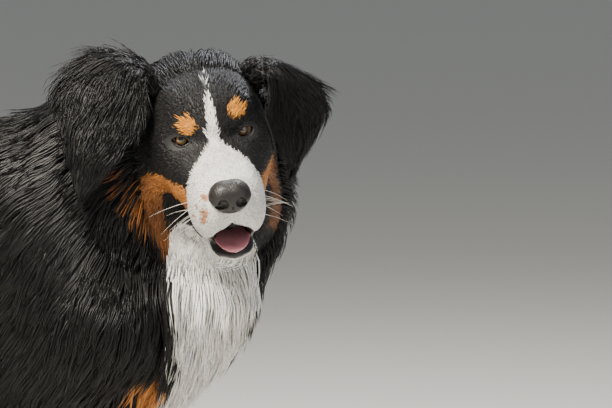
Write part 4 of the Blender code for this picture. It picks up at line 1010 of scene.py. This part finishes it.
# Coat.
# Long, silky, faintly wavy hair over the body and short hair on the face and feet. Each tuft is a thin,
# three-sided tapered strand of solid hair. Strands start in the hide, run with the lie of the coat, draw
# together into locks, and overlap like thatch.
COMB = [
    ((0.02, 0.09, 0.62), (-0.75, 0.35, -0.55), 0.10),
    ((-0.10, 0.00, 0.635), (-1.0, 0.10, -0.05), 0.12),
    ((-0.30, 0.00, 0.62), (-1.0, 0.10, -0.02), 0.12),
    ((-0.45, 0.00, 0.60), (-1.0, 0.10, -0.4), 0.08),
    ((-0.10, 0.13, 0.50), (-0.7, 0.05, -0.7), 0.12),
    ((-0.28, 0.12, 0.50), (-0.75, 0.0, -0.6), 0.12),
    ((-0.20, 0.08, 0.36), (-0.55, 0.0, -0.8), 0.10),
    ((-0.10, 0.00, 0.32), (-0.8, 0.0, -0.6), 0.10),
    ((0.22, 0.00, 0.45), (-0.1, 0.0, -1.0), 0.08),
    ((0.15, 0.10, 0.45), (-0.3, 0.1, -0.95), 0.08),
    ((0.04, 0.13, 0.50), (-0.5, 0.05, -0.85), 0.10),
    ((0.17, 0.03, 0.35), (-0.3, 0.0, -0.95), 0.07),
    ((0.18, 0.08, 0.60), (-0.45, 0.25, -0.85), 0.08),
    ((0.22, 0.00, 0.55), (-0.1, 0.0, -1.0), 0.07),
    ((-0.42, 0.13, 0.48), (-0.5, 0.0, -0.85), 0.09),
    ((-0.50, 0.08, 0.45), (-0.65, 0.1, -0.75), 0.08),
    ((-0.35, 0.14, 0.38), (-0.4, 0.0, -0.9), 0.08),
    ((0.03, 0.13, 0.25), (-0.35, 0.0, -0.95), 0.10),
    ((-0.50, 0.12, 0.20), (-0.2, 0.0, -0.97), 0.10),
    ((-0.556, 0.00, 0.54), (-0.6, 0.0, -0.8), 0.05),
    ((-0.60, 0.01, 0.46), (-0.35, 0.1, -0.95), 0.06),
    ((-0.62, 0.02, 0.36), (-0.2, 0.15, -1.0), 0.06),
    ((-0.64, 0.03, 0.27), (-0.4, 0.15, -0.9), 0.05),
]
HEAD_COMB = [
    ((0.060, 0.000, 0.000), (-1.0, 0.05, 0.1), 0.04),
    ((0.000, 0.000, 0.030), (-0.9, 0.1, 0.45), 0.03),
    ((-0.040, 0.020, 0.060), (-1.0, 0.25, 0.1), 0.04),
    ((-0.100, 0.020, 0.060), (-1.0, 0.2, -0.2), 0.05),
    ((-0.030, 0.050, 0.030), (-0.9, 0.5, 0.1), 0.03),
    ((0.000, 0.050, -0.030), (-0.8, 0.35, -0.5), 0.03),
    ((-0.050, 0.075, -0.030), (-0.85, 0.2, -0.5), 0.05),
    ((-0.060, 0.060, -0.080), (-0.8, 0.2, -0.65), 0.05),
    ((0.060, 0.045, -0.050), (-0.7, 0.15, -0.65), 0.04),
    ((0.090, 0.020, -0.060), (-0.3, 0.6, -0.75), 0.02),
    ((0.080, 0.000, -0.120), (-0.8, 0.0, -0.5), 0.03),
    ((-0.050, 0.000, -0.120), (-0.9, 0.0, -0.3), 0.05),
]


def weighted(points, guides):
    """Mean of the guides' values at each point, the near ones counting most."""
    total, weight = 0.0, 1e-12
    for place, value, reach in guides:
        far = np.linalg.norm(points - np.array(place), axis=1) / reach
        near = 1.0 / (far**4 + 1e-4)
        total = total + near[:, None] * np.atleast_1d(value)
        weight = weight + near
    return total / np.reshape(weight, (-1, 1))


def head_share(points):
    """1 on the head, 0 on the body, with a soft change at the back of the skull."""
    far = np.linalg.norm(to_head(points) - np.array((-0.03, 0.0, -0.02)), axis=1)
    return np.clip((0.175 - far) / 0.050, 0.0, 1.0)


def lie_of(points):
    """The way the hair runs at places of the dog, before it is laid along the skin."""
    hand = np.stack([np.ones(len(points)), np.sign(points[:, 1]), np.ones(len(points))], 1)
    body = weighted(mirrored(points), COMB) * hand
    own = to_head(points)
    hand = np.stack([np.ones(len(own)), np.sign(own[:, 1]), np.ones(len(own))], 1)
    head = (weighted(mirrored(own), HEAD_COMB) * hand) @ HEAD_TURN.T
    share = head_share(points)[:, None]
    return head * share + body * (1.0 - share)


def unit(vectors):
    return vectors / (np.linalg.norm(vectors, axis=-1, keepdims=True) + 1e-9)


def flat_on(vectors, normals):
    return vectors - normals * (vectors * normals).sum(axis=-1, keepdims=True)


def sway(points, scale, seed):
    """A smooth value from -1 to 1 that drifts over the dog, for waves and shades that neighbours share."""
    dice = np.random.default_rng(seed)
    total = np.zeros(len(points))
    for _ in range(5):
        way = dice.normal(size=3)
        total += np.sin(points @ (way / np.linalg.norm(way)) * math.tau / (scale * dice.uniform(0.7, 1.6))
                        + dice.uniform(0, math.tau))
    return total / 3.2


# Half the width and height of the bare skin round each eye.
BARE_HALF_WIDTH = 0.0140
BARE_HALF_HEIGHT = 0.0100


def scatter(count, test, dice, density=None):
    """Places spread over the hide where test is true, none on bare lips, eyes and nose."""
    corners = SKIN_POINTS[SKIN_FACES]
    middle = corners.mean(axis=1)
    cross = np.cross(corners[:, 1] - corners[:, 0], corners[:, 2] - corners[:, 0])
    weight = np.linalg.norm(cross, axis=1) * test(middle)
    if density is not None:
        weight = weight * density(middle)
    total = np.cumsum(weight)
    picks = (np.arange(count) + dice.random(count)) / count * total[-1]
    chosen = np.minimum(np.searchsorted(total, picks), len(total) - 1)
    a, b = dice.random(count), dice.random(count)
    over = a + b > 1.0
    a[over], b[over] = 1.0 - a[over], 1.0 - b[over]
    at = corners[chosen]
    places = at[:, 0] + (at[:, 1] - at[:, 0]) * a[:, None] + (at[:, 2] - at[:, 0]) * b[:, None]
    bare = lip_depth(places) < 0.0
    own = mirrored(to_head(places))
    turn = np.array(eye_turn(1))[:3, :3]
    eye = (own - np.array(EYE_PLACE)) @ turn
    open_eye = (eye[:, 0] / BARE_HALF_WIDTH) ** 2 + (eye[:, 1] / BARE_HALF_HEIGHT) ** 2 < 1.0
    bare |= open_eye & (eye[:, 2] > 0.004)
    bare |= np.linalg.norm((own - np.array(NOSE_PLACE)) / NOSE_HALF, axis=1) < 0.97
    return places[~bare]


def comb_out(roots, length, steps, lift, layer, droop, wave, curl_length, seed, loft):
    """Paths of strands from their roots: steps points past the root, each laid over the hide in its layer."""
    distance, normals = skin_slope(roots)
    way = unit(flat_on(lie_of(roots), normals))
    heading = unit(way * np.cos(lift)[:, None] + normals * np.sin(lift)[:, None])
    place = roots - normals * 0.0012
    phase = sway(roots, 0.09, seed) * 3.0
    path = [place]
    step = (length / steps)[:, None]
    for k in range(1, steps + 1):
        t = k / steps
        place = place + heading * step
        distance, out = skin_slope(place)
        ceiling = layer * (0.35 + 0.65 * t) + 0.0005
        floor = np.minimum(layer * loft, 0.0012 + loft * layer * t**0.7)
        place = place + out * (np.clip(distance, floor, ceiling) - distance)[:, None]
        lie = unit(flat_on(lie_of(place), out))
        side = np.cross(out, lie)
        travelled = (length * t)[:, None]
        bend = np.cos(math.tau * travelled / curl_length + phase[:, None]) * wave
        down = np.array((0.0, 0.0, -1.0)) * droop
        heading = unit(lie + side * bend + down + heading * 0.35)
        place[:, 2] = np.maximum(place[:, 2], GROUND + 0.0015)
        path.append(place)
    return np.stack(path, 1), normals


def nearest(points, centres):
    tree = KDTree(len(centres))
    for i, centre in enumerate(centres):
        tree.insert(centre, i)
    tree.balance()
    return np.array([tree.find(p)[1] for p in points])


def strand_mesh(name, path, normals, width, colours, painted_shade_at_root, unwrap):
    """All the strands of one piece as one mesh: three-cornered rings along each path, drawn to its tip, each
    strand's colour painted darker toward its root as shade deep in the coat.
    """
    count, stations = path.shape[:2]
    rings = stations - 1
    way = unit(path[:, 1:] - path[:, :-1])
    way = np.concatenate([way, way[:, -1:]], 1)
    side = unit(np.cross(way, normals[:, None, :]))
    up = np.cross(side, way)
    profile = np.array([0.75] + [1.0 - 0.72 * (k / rings) ** 1.6 for k in range(1, rings)])
    half = 0.5 * width[:, None, None] * profile[None, :, None]
    body, across, over = path[:, :rings], side[:, :rings], up[:, :rings]
    ring = np.stack([body - across * half, body + over * half * 0.7, body + across * half], 2)
    per = rings * 3 + 1
    vertices = np.concatenate([ring.reshape(count, rings * 3, 3), path[:, -1:]], 1).reshape(-1, 3)
    pattern = [(2, 1, 0)]
    for row in range(rings - 1):
        for i in range(3):
            j, near, far = (i + 1) % 3, row * 3, row * 3 + 3
            pattern += [(near + i, near + j, far + j), (near + i, far + j, far + i)]
    last = (rings - 1) * 3
    pattern += [(last + i, last + (i + 1) % 3, rings * 3) for i in range(3)]
    pattern = np.array(pattern)
    faces = (pattern[None] + (np.arange(count) * per)[:, None, None]).reshape(-1, 3)
    mesh = bpy.data.meshes.new(name)
    mesh.vertices.add(len(vertices))
    mesh.vertices.foreach_set("co", vertices.astype(np.float32).ravel())
    mesh.loops.add(faces.size)
    mesh.loops.foreach_set("vertex_index", faces.astype(np.int32).ravel())
    mesh.polygons.add(len(faces))
    mesh.polygons.foreach_set("loop_start", np.arange(0, faces.size, 3, dtype=np.int32))
    mesh.update(calc_edges=True)
    mesh.shade_smooth()
    # Painted shade: each strand is painted darker toward its root, as shade deep in the coat, and reaches its
    # full colour at the tip.
    t = np.append(np.repeat(np.arange(rings) / rings, 3), 1.0)
    shade = painted_shade_at_root[:, None] + (1.0 - painted_shade_at_root[:, None]) * t[None] ** 0.7
    painted = colours[:, None, :] * shade[:, :, None]
    paint(mesh, "Coat", np.clip(painted, 0.0, 1.0).reshape(-1, 3))
    patch = np.stack([t * 0.003, np.append(np.tile((0.0, 0.0015, 0.003), rings), 0.0015)], 1)
    places = (unwrap[:, None, :] + patch[None]).reshape(-1, 2)
    layer = mesh.uv_layers.new(name="OFBake")
    layer.data.foreach_set("uv", places[faces.ravel()].astype(np.float32).ravel())
    return mesh_object(name, mesh)


def unwrapped(places, axis, middle):
    """Where each root lies on the hide, unrolled round an axis: share of the length, share of the turn."""
    axis = np.array(Vector(axis).normalized())
    first = np.array(Vector(axis).orthogonal().normalized())
    second = np.cross(axis, first)
    p = places - np.array(middle)
    length = p @ axis
    turn = np.arctan2(p @ first, p @ second) / math.tau + 0.5
    length = (length - length.min()) / max(float(np.ptp(length)), 1e-6)
    return np.stack([0.004 + 0.988 * length, 0.004 + 0.988 * turn], 1)


def coat_material(name, roughness, sheen):
    """Hair: the colour of each strand's root, finer streaks along it, and a silky gloss."""
    material, tree, shader = new_material(name, roughness=roughness, Sheen_Weight=sheen, Sheen_Roughness=0.4)
    shader.inputs["Specular IOR Level"].default_value = 0.32
    coat = add_node(tree, "ShaderNodeVertexColor", settings={"layer_name": "Coat"})
    streaks = add_node(
        tree, "ShaderNodeTexNoise", {"Scale": 420.0, "Detail": 2.0, "Roughness": 0.6}, Vector=own_places(tree)
    )
    depth = add_node(
        tree, "ShaderNodeMapRange", {"From Min": 0.3, "From Max": 0.7, "To Min": 0.80, "To Max": 1.18},
        Value=streaks.outputs["Fac"],
    )
    shaded = add_node(tree, "ShaderNodeVectorMath", settings={"operation": "SCALE"})
    tree.links.new(coat.outputs["Color"], shaded.inputs[0])
    tree.links.new(depth.outputs["Result"], shaded.inputs["Scale"])
    tree.links.new(shaded.outputs["Vector"], shader.inputs["Base Color"])
    bumped(tree, shader, streaks.outputs["Fac"], 0.25, 0.0006)
    return material


SILKY = coat_material("silky_long_hair", 0.42, 0.015)
SHORT = coat_material("short_face_hair", 0.44, 0.02)


def coat_piece(
    name, count, test, long, wide, steps, lift, layer, droop, wave, clump,
    per_lock=10, density=None, material=None, seed=1, axis=(1, 0, 0), middle=(0, 0, 0.5),
    curl_length=0.07, slot="black_coat", stray=0.0035, loft=0.25,
):
    """One piece of the coat: strands from count roots, drawn together into locks, joined in one mesh.

    long and wide are a strand's size, steps its sections, lift its rise from the hide in degrees, layer the
    height of the coat and loft the share of it that every strand reaches. droop is the pull down, wave the
    swing to the sides over curl_length, clump how far per_lock neighbours draw together, and stray how far
    the colours mingle at the borders of the marks.
    """
    dice = np.random.default_rng(seed)
    roots = scatter(count, test, dice, density)
    count = len(roots)
    lengths = (long(roots) if callable(long) else np.full(count, long)) * dice.uniform(0.75, 1.15, count)
    layers = layer(roots) if callable(layer) else np.full(count, layer)
    rises = np.radians(lift) * dice.uniform(0.6, 1.3, count)
    path, normals = comb_out(
        roots, lengths, steps, rises, layers * dice.uniform(0.45, 1.1, count), droop, wave, curl_length,
        seed, loft,
    )
    if clump:
        heads = dice.choice(count, max(count // per_lock, 1), replace=False)
        mine = heads[nearest(roots, roots[heads])]
        t = (np.arange(steps + 1) / steps)[None, :, None]
        pull = clump * t**1.4 * dice.uniform(0.6, 1.0, count)[:, None, None]
        path = path + (path[mine] - path) * pull
        path[:, 0] = roots - normals * 0.0012
        lock_shade = dice.uniform(0.75, 1.25, count)[mine]
    else:
        lock_shade = np.ones(count)
    stray = dice.normal(0.0, stray, count)
    colours = mark_colours(roots, stray)
    shade = dice.uniform(0.82, 1.12, count) * lock_shade ** 0.6
    colours = np.clip(colours * shade[:, None], 0.0, 0.93)
    width = wide * dice.uniform(0.75, 1.25, count)
    # Painted shade at the roots: light-coloured strands start at 80% of their colour, dark ones at 85%.
    bright = colours.max(axis=1) > 0.3
    painted_root_shade = np.where(bright, 0.80, 0.85)
    piece = strand_mesh(name, path, normals, width, colours, painted_root_shade, unwrapped(roots, axis, middle))
    return finish_piece(piece, material or SILKY, slot)


def zone_of(points):
    """Which piece of the coat grows at each place."""
    own, share = mirrored(to_head(points)), head_share(points)
    x, z, aside = points[:, 0], points[:, 2], np.abs(points[:, 1])
    on_tail = np.where(x < -0.50, in_slices(tail_field, points), 1.0) < 0.012
    chest = (x > 0.13) & (z > 0.30) & (z < 0.60) & (white_depth(points) < 0.012)
    return np.select(
        [
            on_tail, z <= 0.075, (z <= 0.335) & (aside > 0.04),
            (share > 0.5) & (own[:, 0] > 0.008) & (own[:, 1] < 0.085),
            (share > 0.5) & (own[:, 0] > -0.055) & (own[:, 1] < 0.085),
            share > 0.3, chest, (x > 0.015) & (z > 0.40),
            (z <= 0.40) & (aside < 0.10) & (x > -0.33), x > -0.30,
        ],
        ["tail", "paw", "leg", "muzzle", "brow", "crown", "bib", "ruff", "belly", "flank"], "rump",
    )


def within(zone, hand=0):
    """A test for one zone of the coat, and for one side of the dog where hand is given."""
    def test(points):
        right_side = points[:, 1] * hand >= 0.0
        return (zone_of(points) == zone) & right_side
    return test


def face_length(points):
    """Length of the hair of the head, from the short hair of the muzzle to the long hair of the cheeks."""
    own = mirrored(to_head(points))
    return weighted(own, [
        ((0.090, 0.020, -0.040), 0.0050, 0.030),
        ((0.060, 0.030, -0.050), 0.0065, 0.030),
        ((0.040, 0.010, -0.010), 0.0070, 0.030),
        ((0.000, 0.038, 0.000), 0.0036, 0.018),
        ((0.000, 0.000, 0.030), 0.0090, 0.025),
        ((-0.030, 0.020, 0.052), 0.0190, 0.030),
        ((-0.085, 0.020, 0.060), 0.0240, 0.040),
        ((-0.020, 0.060, 0.010), 0.0110, 0.025),
        ((0.020, 0.045, -0.030), 0.0080, 0.025),
        ((-0.020, 0.068, -0.040), 0.0090, 0.025),
        ((-0.060, 0.075, -0.050), 0.0260, 0.030),
        ((-0.050, 0.055, -0.100), 0.0340, 0.030),
        ((0.070, 0.010, -0.118), 0.0090, 0.025),
        ((-0.020, 0.010, -0.125), 0.0280, 0.035),
    ])[:, 0]


coat_piece(
    "muzzle_hair", count=12000, test=within("muzzle"), long=face_length, wide=0.0014, steps=2, lift=11,
    layer=0.0016, droop=0.0, wave=0.05, clump=0.25, per_lock=7, material=SHORT, seed=21,
    axis=HEAD_TURN[:, 0], middle=EYES_MIDDLE, slot="white_coat", stray=0.0011,
)
coat_piece(
    "brow_and_cheek_hair", count=11500, test=within("brow"), long=face_length, wide=0.0017, steps=2,
    lift=12, layer=0.0032, droop=0.0, wave=0.10, clump=0.35, per_lock=8, material=SHORT, seed=22,
    axis=HEAD_TURN[:, 0], middle=EYES_MIDDLE, stray=0.0012,
)


def crown_lie(points):
    """How high the hair stands: low over the skull, full over the jowls, fullest over the far one."""
    own = to_head(points)
    jowl = np.where(own[:, 1] > 0.0, 0.044, 0.024)
    top = 0.011 + 0.017 * np.clip((-0.055 - own[:, 0]) / 0.03, 0.0, 1.0)
    return np.where(own[:, 2] > 0.015, top, jowl)


def crown_length(points):
    """Short over the brow, longer behind the ears and on the jowls."""
    own = to_head(points)
    behind = np.clip((-0.050 - own[:, 0]) / 0.05, 0.0, 1.0)
    return np.where(own[:, 2] > 0.015, 0.020 + 0.024 * behind, np.where(own[:, 1] > 0.0, 0.050, 0.036))


coat_piece(
    "crown_and_jowl_hair", count=6600, test=within("crown"), long=crown_length, wide=0.0021, steps=4,
    lift=17, layer=crown_lie, droop=0.08, wave=0.26, clump=0.55, per_lock=11, seed=23, axis=HEAD_TURN[:, 0],
    middle=EYES_MIDDLE, stray=0.0025, loft=0.5,
)


def mane_lie(points):
    """How high the mane stands: fuller toward the breast."""
    return 0.026 + 0.024 * np.clip((points[:, 0] - 0.13) / 0.08, 0.0, 1.0)


# Ruff and chest hair: the long mane of the neck, thick at the throat, and the white bib that hangs from it.
coat_piece(
    "ruff_right_hair", count=6000, test=within("ruff", -1), long=0.072, wide=0.0029, steps=4, lift=24,
    layer=mane_lie, droop=0.12, wave=0.35, clump=0.7, per_lock=12, seed=31, middle=(0.0, 0.0, 0.56),
    curl_length=0.06, loft=0.4,
)
coat_piece(
    "ruff_left_hair", count=4800, test=within("ruff", 1), long=0.074, wide=0.0034, steps=4, lift=28,
    layer=mane_lie, droop=0.12, wave=0.35, clump=0.65, per_lock=10, seed=32, middle=(0.0, 0.0, 0.56),
    curl_length=0.06, loft=0.6,
)
coat_piece(
    "bib_hair", count=5000, test=within("bib"), long=0.068, wide=0.0028, steps=4, lift=28, layer=0.048,
    droop=0.16, wave=0.35, clump=0.65, per_lock=12, seed=33, axis=(0, 0, 1), middle=(0.12, 0.0, 0.0),
    slot="white_coat", curl_length=0.05, loft=0.6,
)

# Body hair: the long flat coat of shoulders, back, ribs, flanks and rump.
coat_piece(
    "flank_right_hair", count=5800, test=within("flank", -1), long=0.062, wide=0.0044, steps=3, lift=18,
    layer=0.018, droop=0.06, wave=0.30, clump=0.6, per_lock=10, seed=41, middle=(0, 0, 0.46),
)
coat_piece(
    "flank_left_hair", count=4200, test=within("flank", 1), long=0.064, wide=0.0056, steps=3, lift=18,
    layer=0.018, droop=0.06, wave=0.30, clump=0.6, per_lock=9, seed=42, middle=(0, 0, 0.46),
)
coat_piece(
    "rump_hair", count=4800, test=within("rump"), long=0.062, wide=0.0056, steps=3, lift=20, layer=0.020,
    droop=0.10, wave=0.30, clump=0.6, per_lock=9, seed=43, middle=(0, 0, 0.46),
)

# Belly fringe: longer soft hair under the brisket and belly.
coat_piece(
    "belly_fringe", count=1900, test=within("belly"), long=0.060, wide=0.0044, steps=4, lift=28,
    layer=0.030, droop=0.5, wave=0.25, clump=0.7, per_lock=10, seed=44, middle=(0, 0, 0.46),
)


# Leg hair: short and close down the front of each leg, with longer feather behind the forelegs and the
# breeches behind the thighs.
def leg_length(points):
    fore = points[:, 0] > -0.2
    behind = np.where(fore, 0.052 - points[:, 0], -0.470 - points[:, 0])
    long = 0.016 + 0.9 * np.clip(behind, 0.0, 0.035)
    return np.where(points[:, 2] < 0.08, 0.010, long)


def leg_lie(points):
    return 0.12 * leg_length(points)


coat_piece(
    "leg_hair", count=8000, test=within("leg"), long=leg_length, wide=0.0034, steps=2, lift=14,
    layer=leg_lie, droop=0.0, wave=0.08, clump=0.3, per_lock=8, material=SHORT, seed=51, axis=(0, 0, 1),
    middle=(-0.2, 0.0, 0.0), slot="rust_coat",
)


def feather_zone(points):
    front = (points[:, 0] > -0.06) & (points[:, 0] < 0.045) & (points[:, 2] > 0.13) & (points[:, 2] < 0.33)
    behind = (points[:, 0] < -0.43) & (points[:, 0] > -0.56) & (points[:, 2] > 0.24) & (points[:, 2] < 0.50)
    return (front | behind) & (np.abs(points[:, 1]) > 0.035) & (zone_of(points) != "tail")


def feather_density(points):
    return np.where(points[:, 0] > -0.2, np.clip((0.045 - points[:, 0]) / 0.03, 0.1, 1.0), 1.0)


coat_piece(
    "feather_and_breeches", count=2700, test=feather_zone, long=0.052, wide=0.0040, steps=4, lift=30,
    layer=0.030, droop=0.35, wave=0.25, clump=0.7, per_lock=9, seed=52, density=feather_density,
    axis=(0, 0, 1), middle=(-0.2, 0.0, 0.0),
)

# Paw hair: the shortest, dense and white, over the toes.
coat_piece(
    "paw_hair", count=6000, test=within("paw"), long=0.0090, wide=0.0022, steps=2, lift=10, layer=0.0012,
    droop=0.0, wave=0.05, clump=0.2, per_lock=7, material=SHORT, seed=53, axis=(0, 0, 1),
    middle=(-0.2, 0.0, 0.0), slot="white_coat",
)

# Tail plume: the longest hair, that falls from the tail in one heavy fringe with a white tip.
coat_piece(
    "tail_hair", count=3200, test=within("tail"), long=0.085, wide=0.0042, steps=4, lift=30, layer=0.034,
    droop=0.35, wave=0.25, clump=0.7, per_lock=11, seed=61, axis=(0, 0, 1), middle=(-0.6, 0.02, 0.0),
    stray=0.006,
)


# Ear hair: long black silk over the flap, wavy, streaming off its edges in fine wisps.
def ear_hair(name, stations, hand, count, long, seed):
    dice = np.random.default_rng(seed)
    wide = 0.0019
    table = np.array([(*middle, *half, thick) for middle, half, thick in stations])
    gaps = np.linalg.norm(np.diff(table[:, :3], axis=0), axis=1).mean()
    station = -0.30 + 6.35 * dice.random(count) ** 1.05
    across = dice.uniform(-1.0, 1.0, count)
    inside = dice.random(count) < 0.16
    steps = 5
    lengths = long * dice.uniform(0.55, 1.2, count) * np.where(inside, 0.45, 1.0)
    lengths *= 0.75 + 0.25 * np.abs(across)
    layer = dice.uniform(0.25, 1.0, count)
    drift = -0.10 + 0.45 * across + dice.normal(0.0, 0.16, count)
    phase = np.sin(station * 1.7 + across * 2.1 + seed) * 2.2 + dice.normal(0, 0.35, count)
    side = np.where(inside, -1.0, 1.0)
    path = []
    for k in range(steps + 1):
        t = k / steps
        here = station + lengths * t / gaps
        wave = 0.10 * np.sin(phase + lengths * t / 0.055 * math.tau)
        over = across + drift * t + wave * t
        thick = along(table, here)[:, 6] * 0.72
        edge = np.sqrt(np.clip(1.0 - np.minimum(np.abs(over), 1.0) ** 2, 0.0, 1.0))
        height = side * thick * edge - 0.35 * thick * np.clip(over, -1, 1) ** 2
        height = height + side * layer * 0.010 * (0.1 + 0.9 * t ** 0.8) - (0.0012 * side if k == 0 else 0.0)
        spot, _ = ear_point(table, here, over, height, hand)
        spot[:, 2] -= 0.18 * lengths * t**2 * (here > 5.5)
        path.append(spot)
    path = np.stack(path, 1)
    roots = path[:, 0].copy()
    heads = dice.choice(count, max(count // 12, 1), replace=False)
    mine = heads[nearest(roots, roots[heads])]
    t = (np.arange(steps + 1) / steps)[None, :, None]
    path = path + (path[mine] - path) * 0.62 * t**1.3 * dice.uniform(0.5, 1.0, count)[:, None, None]
    path[:, 0] = roots
    world = path.reshape(-1, 3) @ HEAD_TURN.T + np.array(EYES_MIDDLE)
    distance, out = skin_slope(world)
    world = world + out * np.clip(0.004 - distance, 0.0, 0.05)[:, None]
    path = world.reshape(count, steps + 1, 3)
    normals = unit(path[:, 1] - (path[:, 0] + path[:, 2]) / 2 + out.reshape(count, steps + 1, 3)[:, 1] * 0.2)
    colours = BLACK_HAIR * dice.uniform(0.75, 1.2, count)[:, None] * np.ones(3)
    unwrap = np.stack([0.004 + 0.98 * (station + 0.3) / 6.5, 0.004 + 0.98 * (across + 1.0) / 2.0], 1)
    # Painted shade: the ear's strands are painted 15% darker at their roots and reach full colour at the tip.
    piece = strand_mesh(
        name, path, normals, wide * dice.uniform(0.7, 1.25, count), colours, np.full(count, 0.85), unwrap,
    )
    return finish_piece(piece, SILKY, "black_coat")


ear_hair("ear_right_hair", RIGHT_EAR, -1, 4700, 0.052, 71)
ear_hair("ear_left_hair", LEFT_EAR, 1, 4300, 0.044, 72)


# Whiskers.
# Stiff white hairs that stand out of the lips and chin in a loose fan.
WHISKER_ROOTS = [
    (0.074, 0.040, -0.050), (0.066, 0.043, -0.057), (0.078, 0.038, -0.060), (0.070, 0.041, -0.066),
    (0.060, 0.045, -0.068), (0.082, 0.035, -0.052), (0.060, 0.045, -0.050), (0.064, 0.042, -0.078),
]
whisker_hair, tree, shader = new_material("whisker_hair", "#efeae2", 0.35)
mottled(tree, shader, 120.0, "#cfc8bb", "#fbf8f2")
dice = np.random.default_rng(81)
whisker_vertices, whisker_faces = [], []
for hand in (1, -1):
    for x, y, z in WHISKER_ROOTS:
        root = Vector((x, y * hand, z))
        back, down = -0.35 + dice.uniform(-0.2, 0.2), -0.25 + dice.uniform(-0.3, 0.25)
        way = Vector((back, hand * 0.85, down)).normalized()
        length = dice.uniform(0.028, 0.050)
        path = []
        for k in range(9):
            t = k / 8
            spot = root - way * 0.003 + way * length * t + Vector((-0.010, 0.0, -0.012)) * t * t
            path.append(HEAD @ spot)
        mesh = tube("whisker", path, [0.00030 * (1 - 0.8 * k / 8) for k in range(9)], 5, False)
        first = len(whisker_vertices)
        whisker_vertices += [tuple(v.co) for v in mesh.vertices]
        whisker_faces += [tuple(first + i for i in p.vertices) for p in mesh.polygons]
        bpy.data.meshes.remove(mesh)
whiskers = mesh_object("whiskers", new_mesh("whiskers", whisker_vertices, whisker_faces))
whiskers.data.shade_smooth()
finish_piece(whiskers, whisker_hair, "white_coat")


# Floor, light and camera.
# A plain pale floor, a big soft key light from the dog's right front, a fill, and one behind for the sheen.
bpy.ops.mesh.primitive_plane_add(size=400.0, location=(0.0, 0.0, 0.0))
floor = bpy.context.active_object
floor.name = "floor"
floor_paint, tree, shader = new_material("floor_paint", "#d9d8d2", 0.8)
bumped(tree, shader, noise_of(tree, 3.0), 0.05, 0.01)
floor.data.materials.append(floor_paint)

world = bpy.data.worlds.new("studio") if not bpy.context.scene.world else bpy.context.scene.world
bpy.context.scene.world = world
world.use_nodes = True
background = world.node_tree.nodes["Background"]
background.inputs["Color"].default_value = (*linear("#dfe3e6"), 1.0)
background.inputs["Strength"].default_value = 0.36

FRAME_SIDE = Vector((math.cos(math.radians(20)), math.sin(math.radians(20)), 0.0))
FRAME_BACK = Vector((
    math.sin(math.radians(20)) * math.cos(math.radians(5)),
    -math.cos(math.radians(20)) * math.cos(math.radians(5)),
    math.sin(math.radians(5)),
))
FRAME_UP = FRAME_BACK.cross(FRAME_SIDE)
AIM = DOG + EYES_MIDDLE + 0.107 * FRAME_SIDE - 0.0765 * FRAME_UP


def soft_light(name, side, up, back, size, power, colour):
    """A square lamp placed from the point that the camera aims at, along the frame's own axes."""
    place = AIM + FRAME_SIDE * side + FRAME_UP * up + FRAME_BACK * back
    bpy.ops.object.light_add(type="AREA", location=place)
    lamp = bpy.context.active_object
    lamp.name = name
    lamp.data.shape = "SQUARE"
    lamp.data.size = size
    lamp.data.energy = power
    lamp.data.color = linear(colour)
    lamp.rotation_mode = "QUATERNION"
    lamp.rotation_quaternion = (AIM - place).to_track_quat("-Z", "Y")
    return lamp


soft_light("key", -1.3, 2.3, 1.6, 0.7, 290.0, "#fff6e8")
soft_light("fill", 1.8, 0.6, 2.2, 2.0, 16.0, "#eef3ff")
soft_light("sheen", 0.2, 2.4, -1.6, 0.9, 80.0, "#f6f8ff")

bpy.ops.object.camera_add(location=AIM + FRAME_BACK * 4.2)
camera = bpy.context.active_object
camera.data.sensor_width = 36.0
camera.data.lens = 36.0 * 4.2 / (612 * 0.00115)
camera.rotation_mode = "QUATERNION"
camera.rotation_quaternion = (-FRAME_BACK).to_track_quat("-Z", "Y")
bpy.context.scene.camera = camera
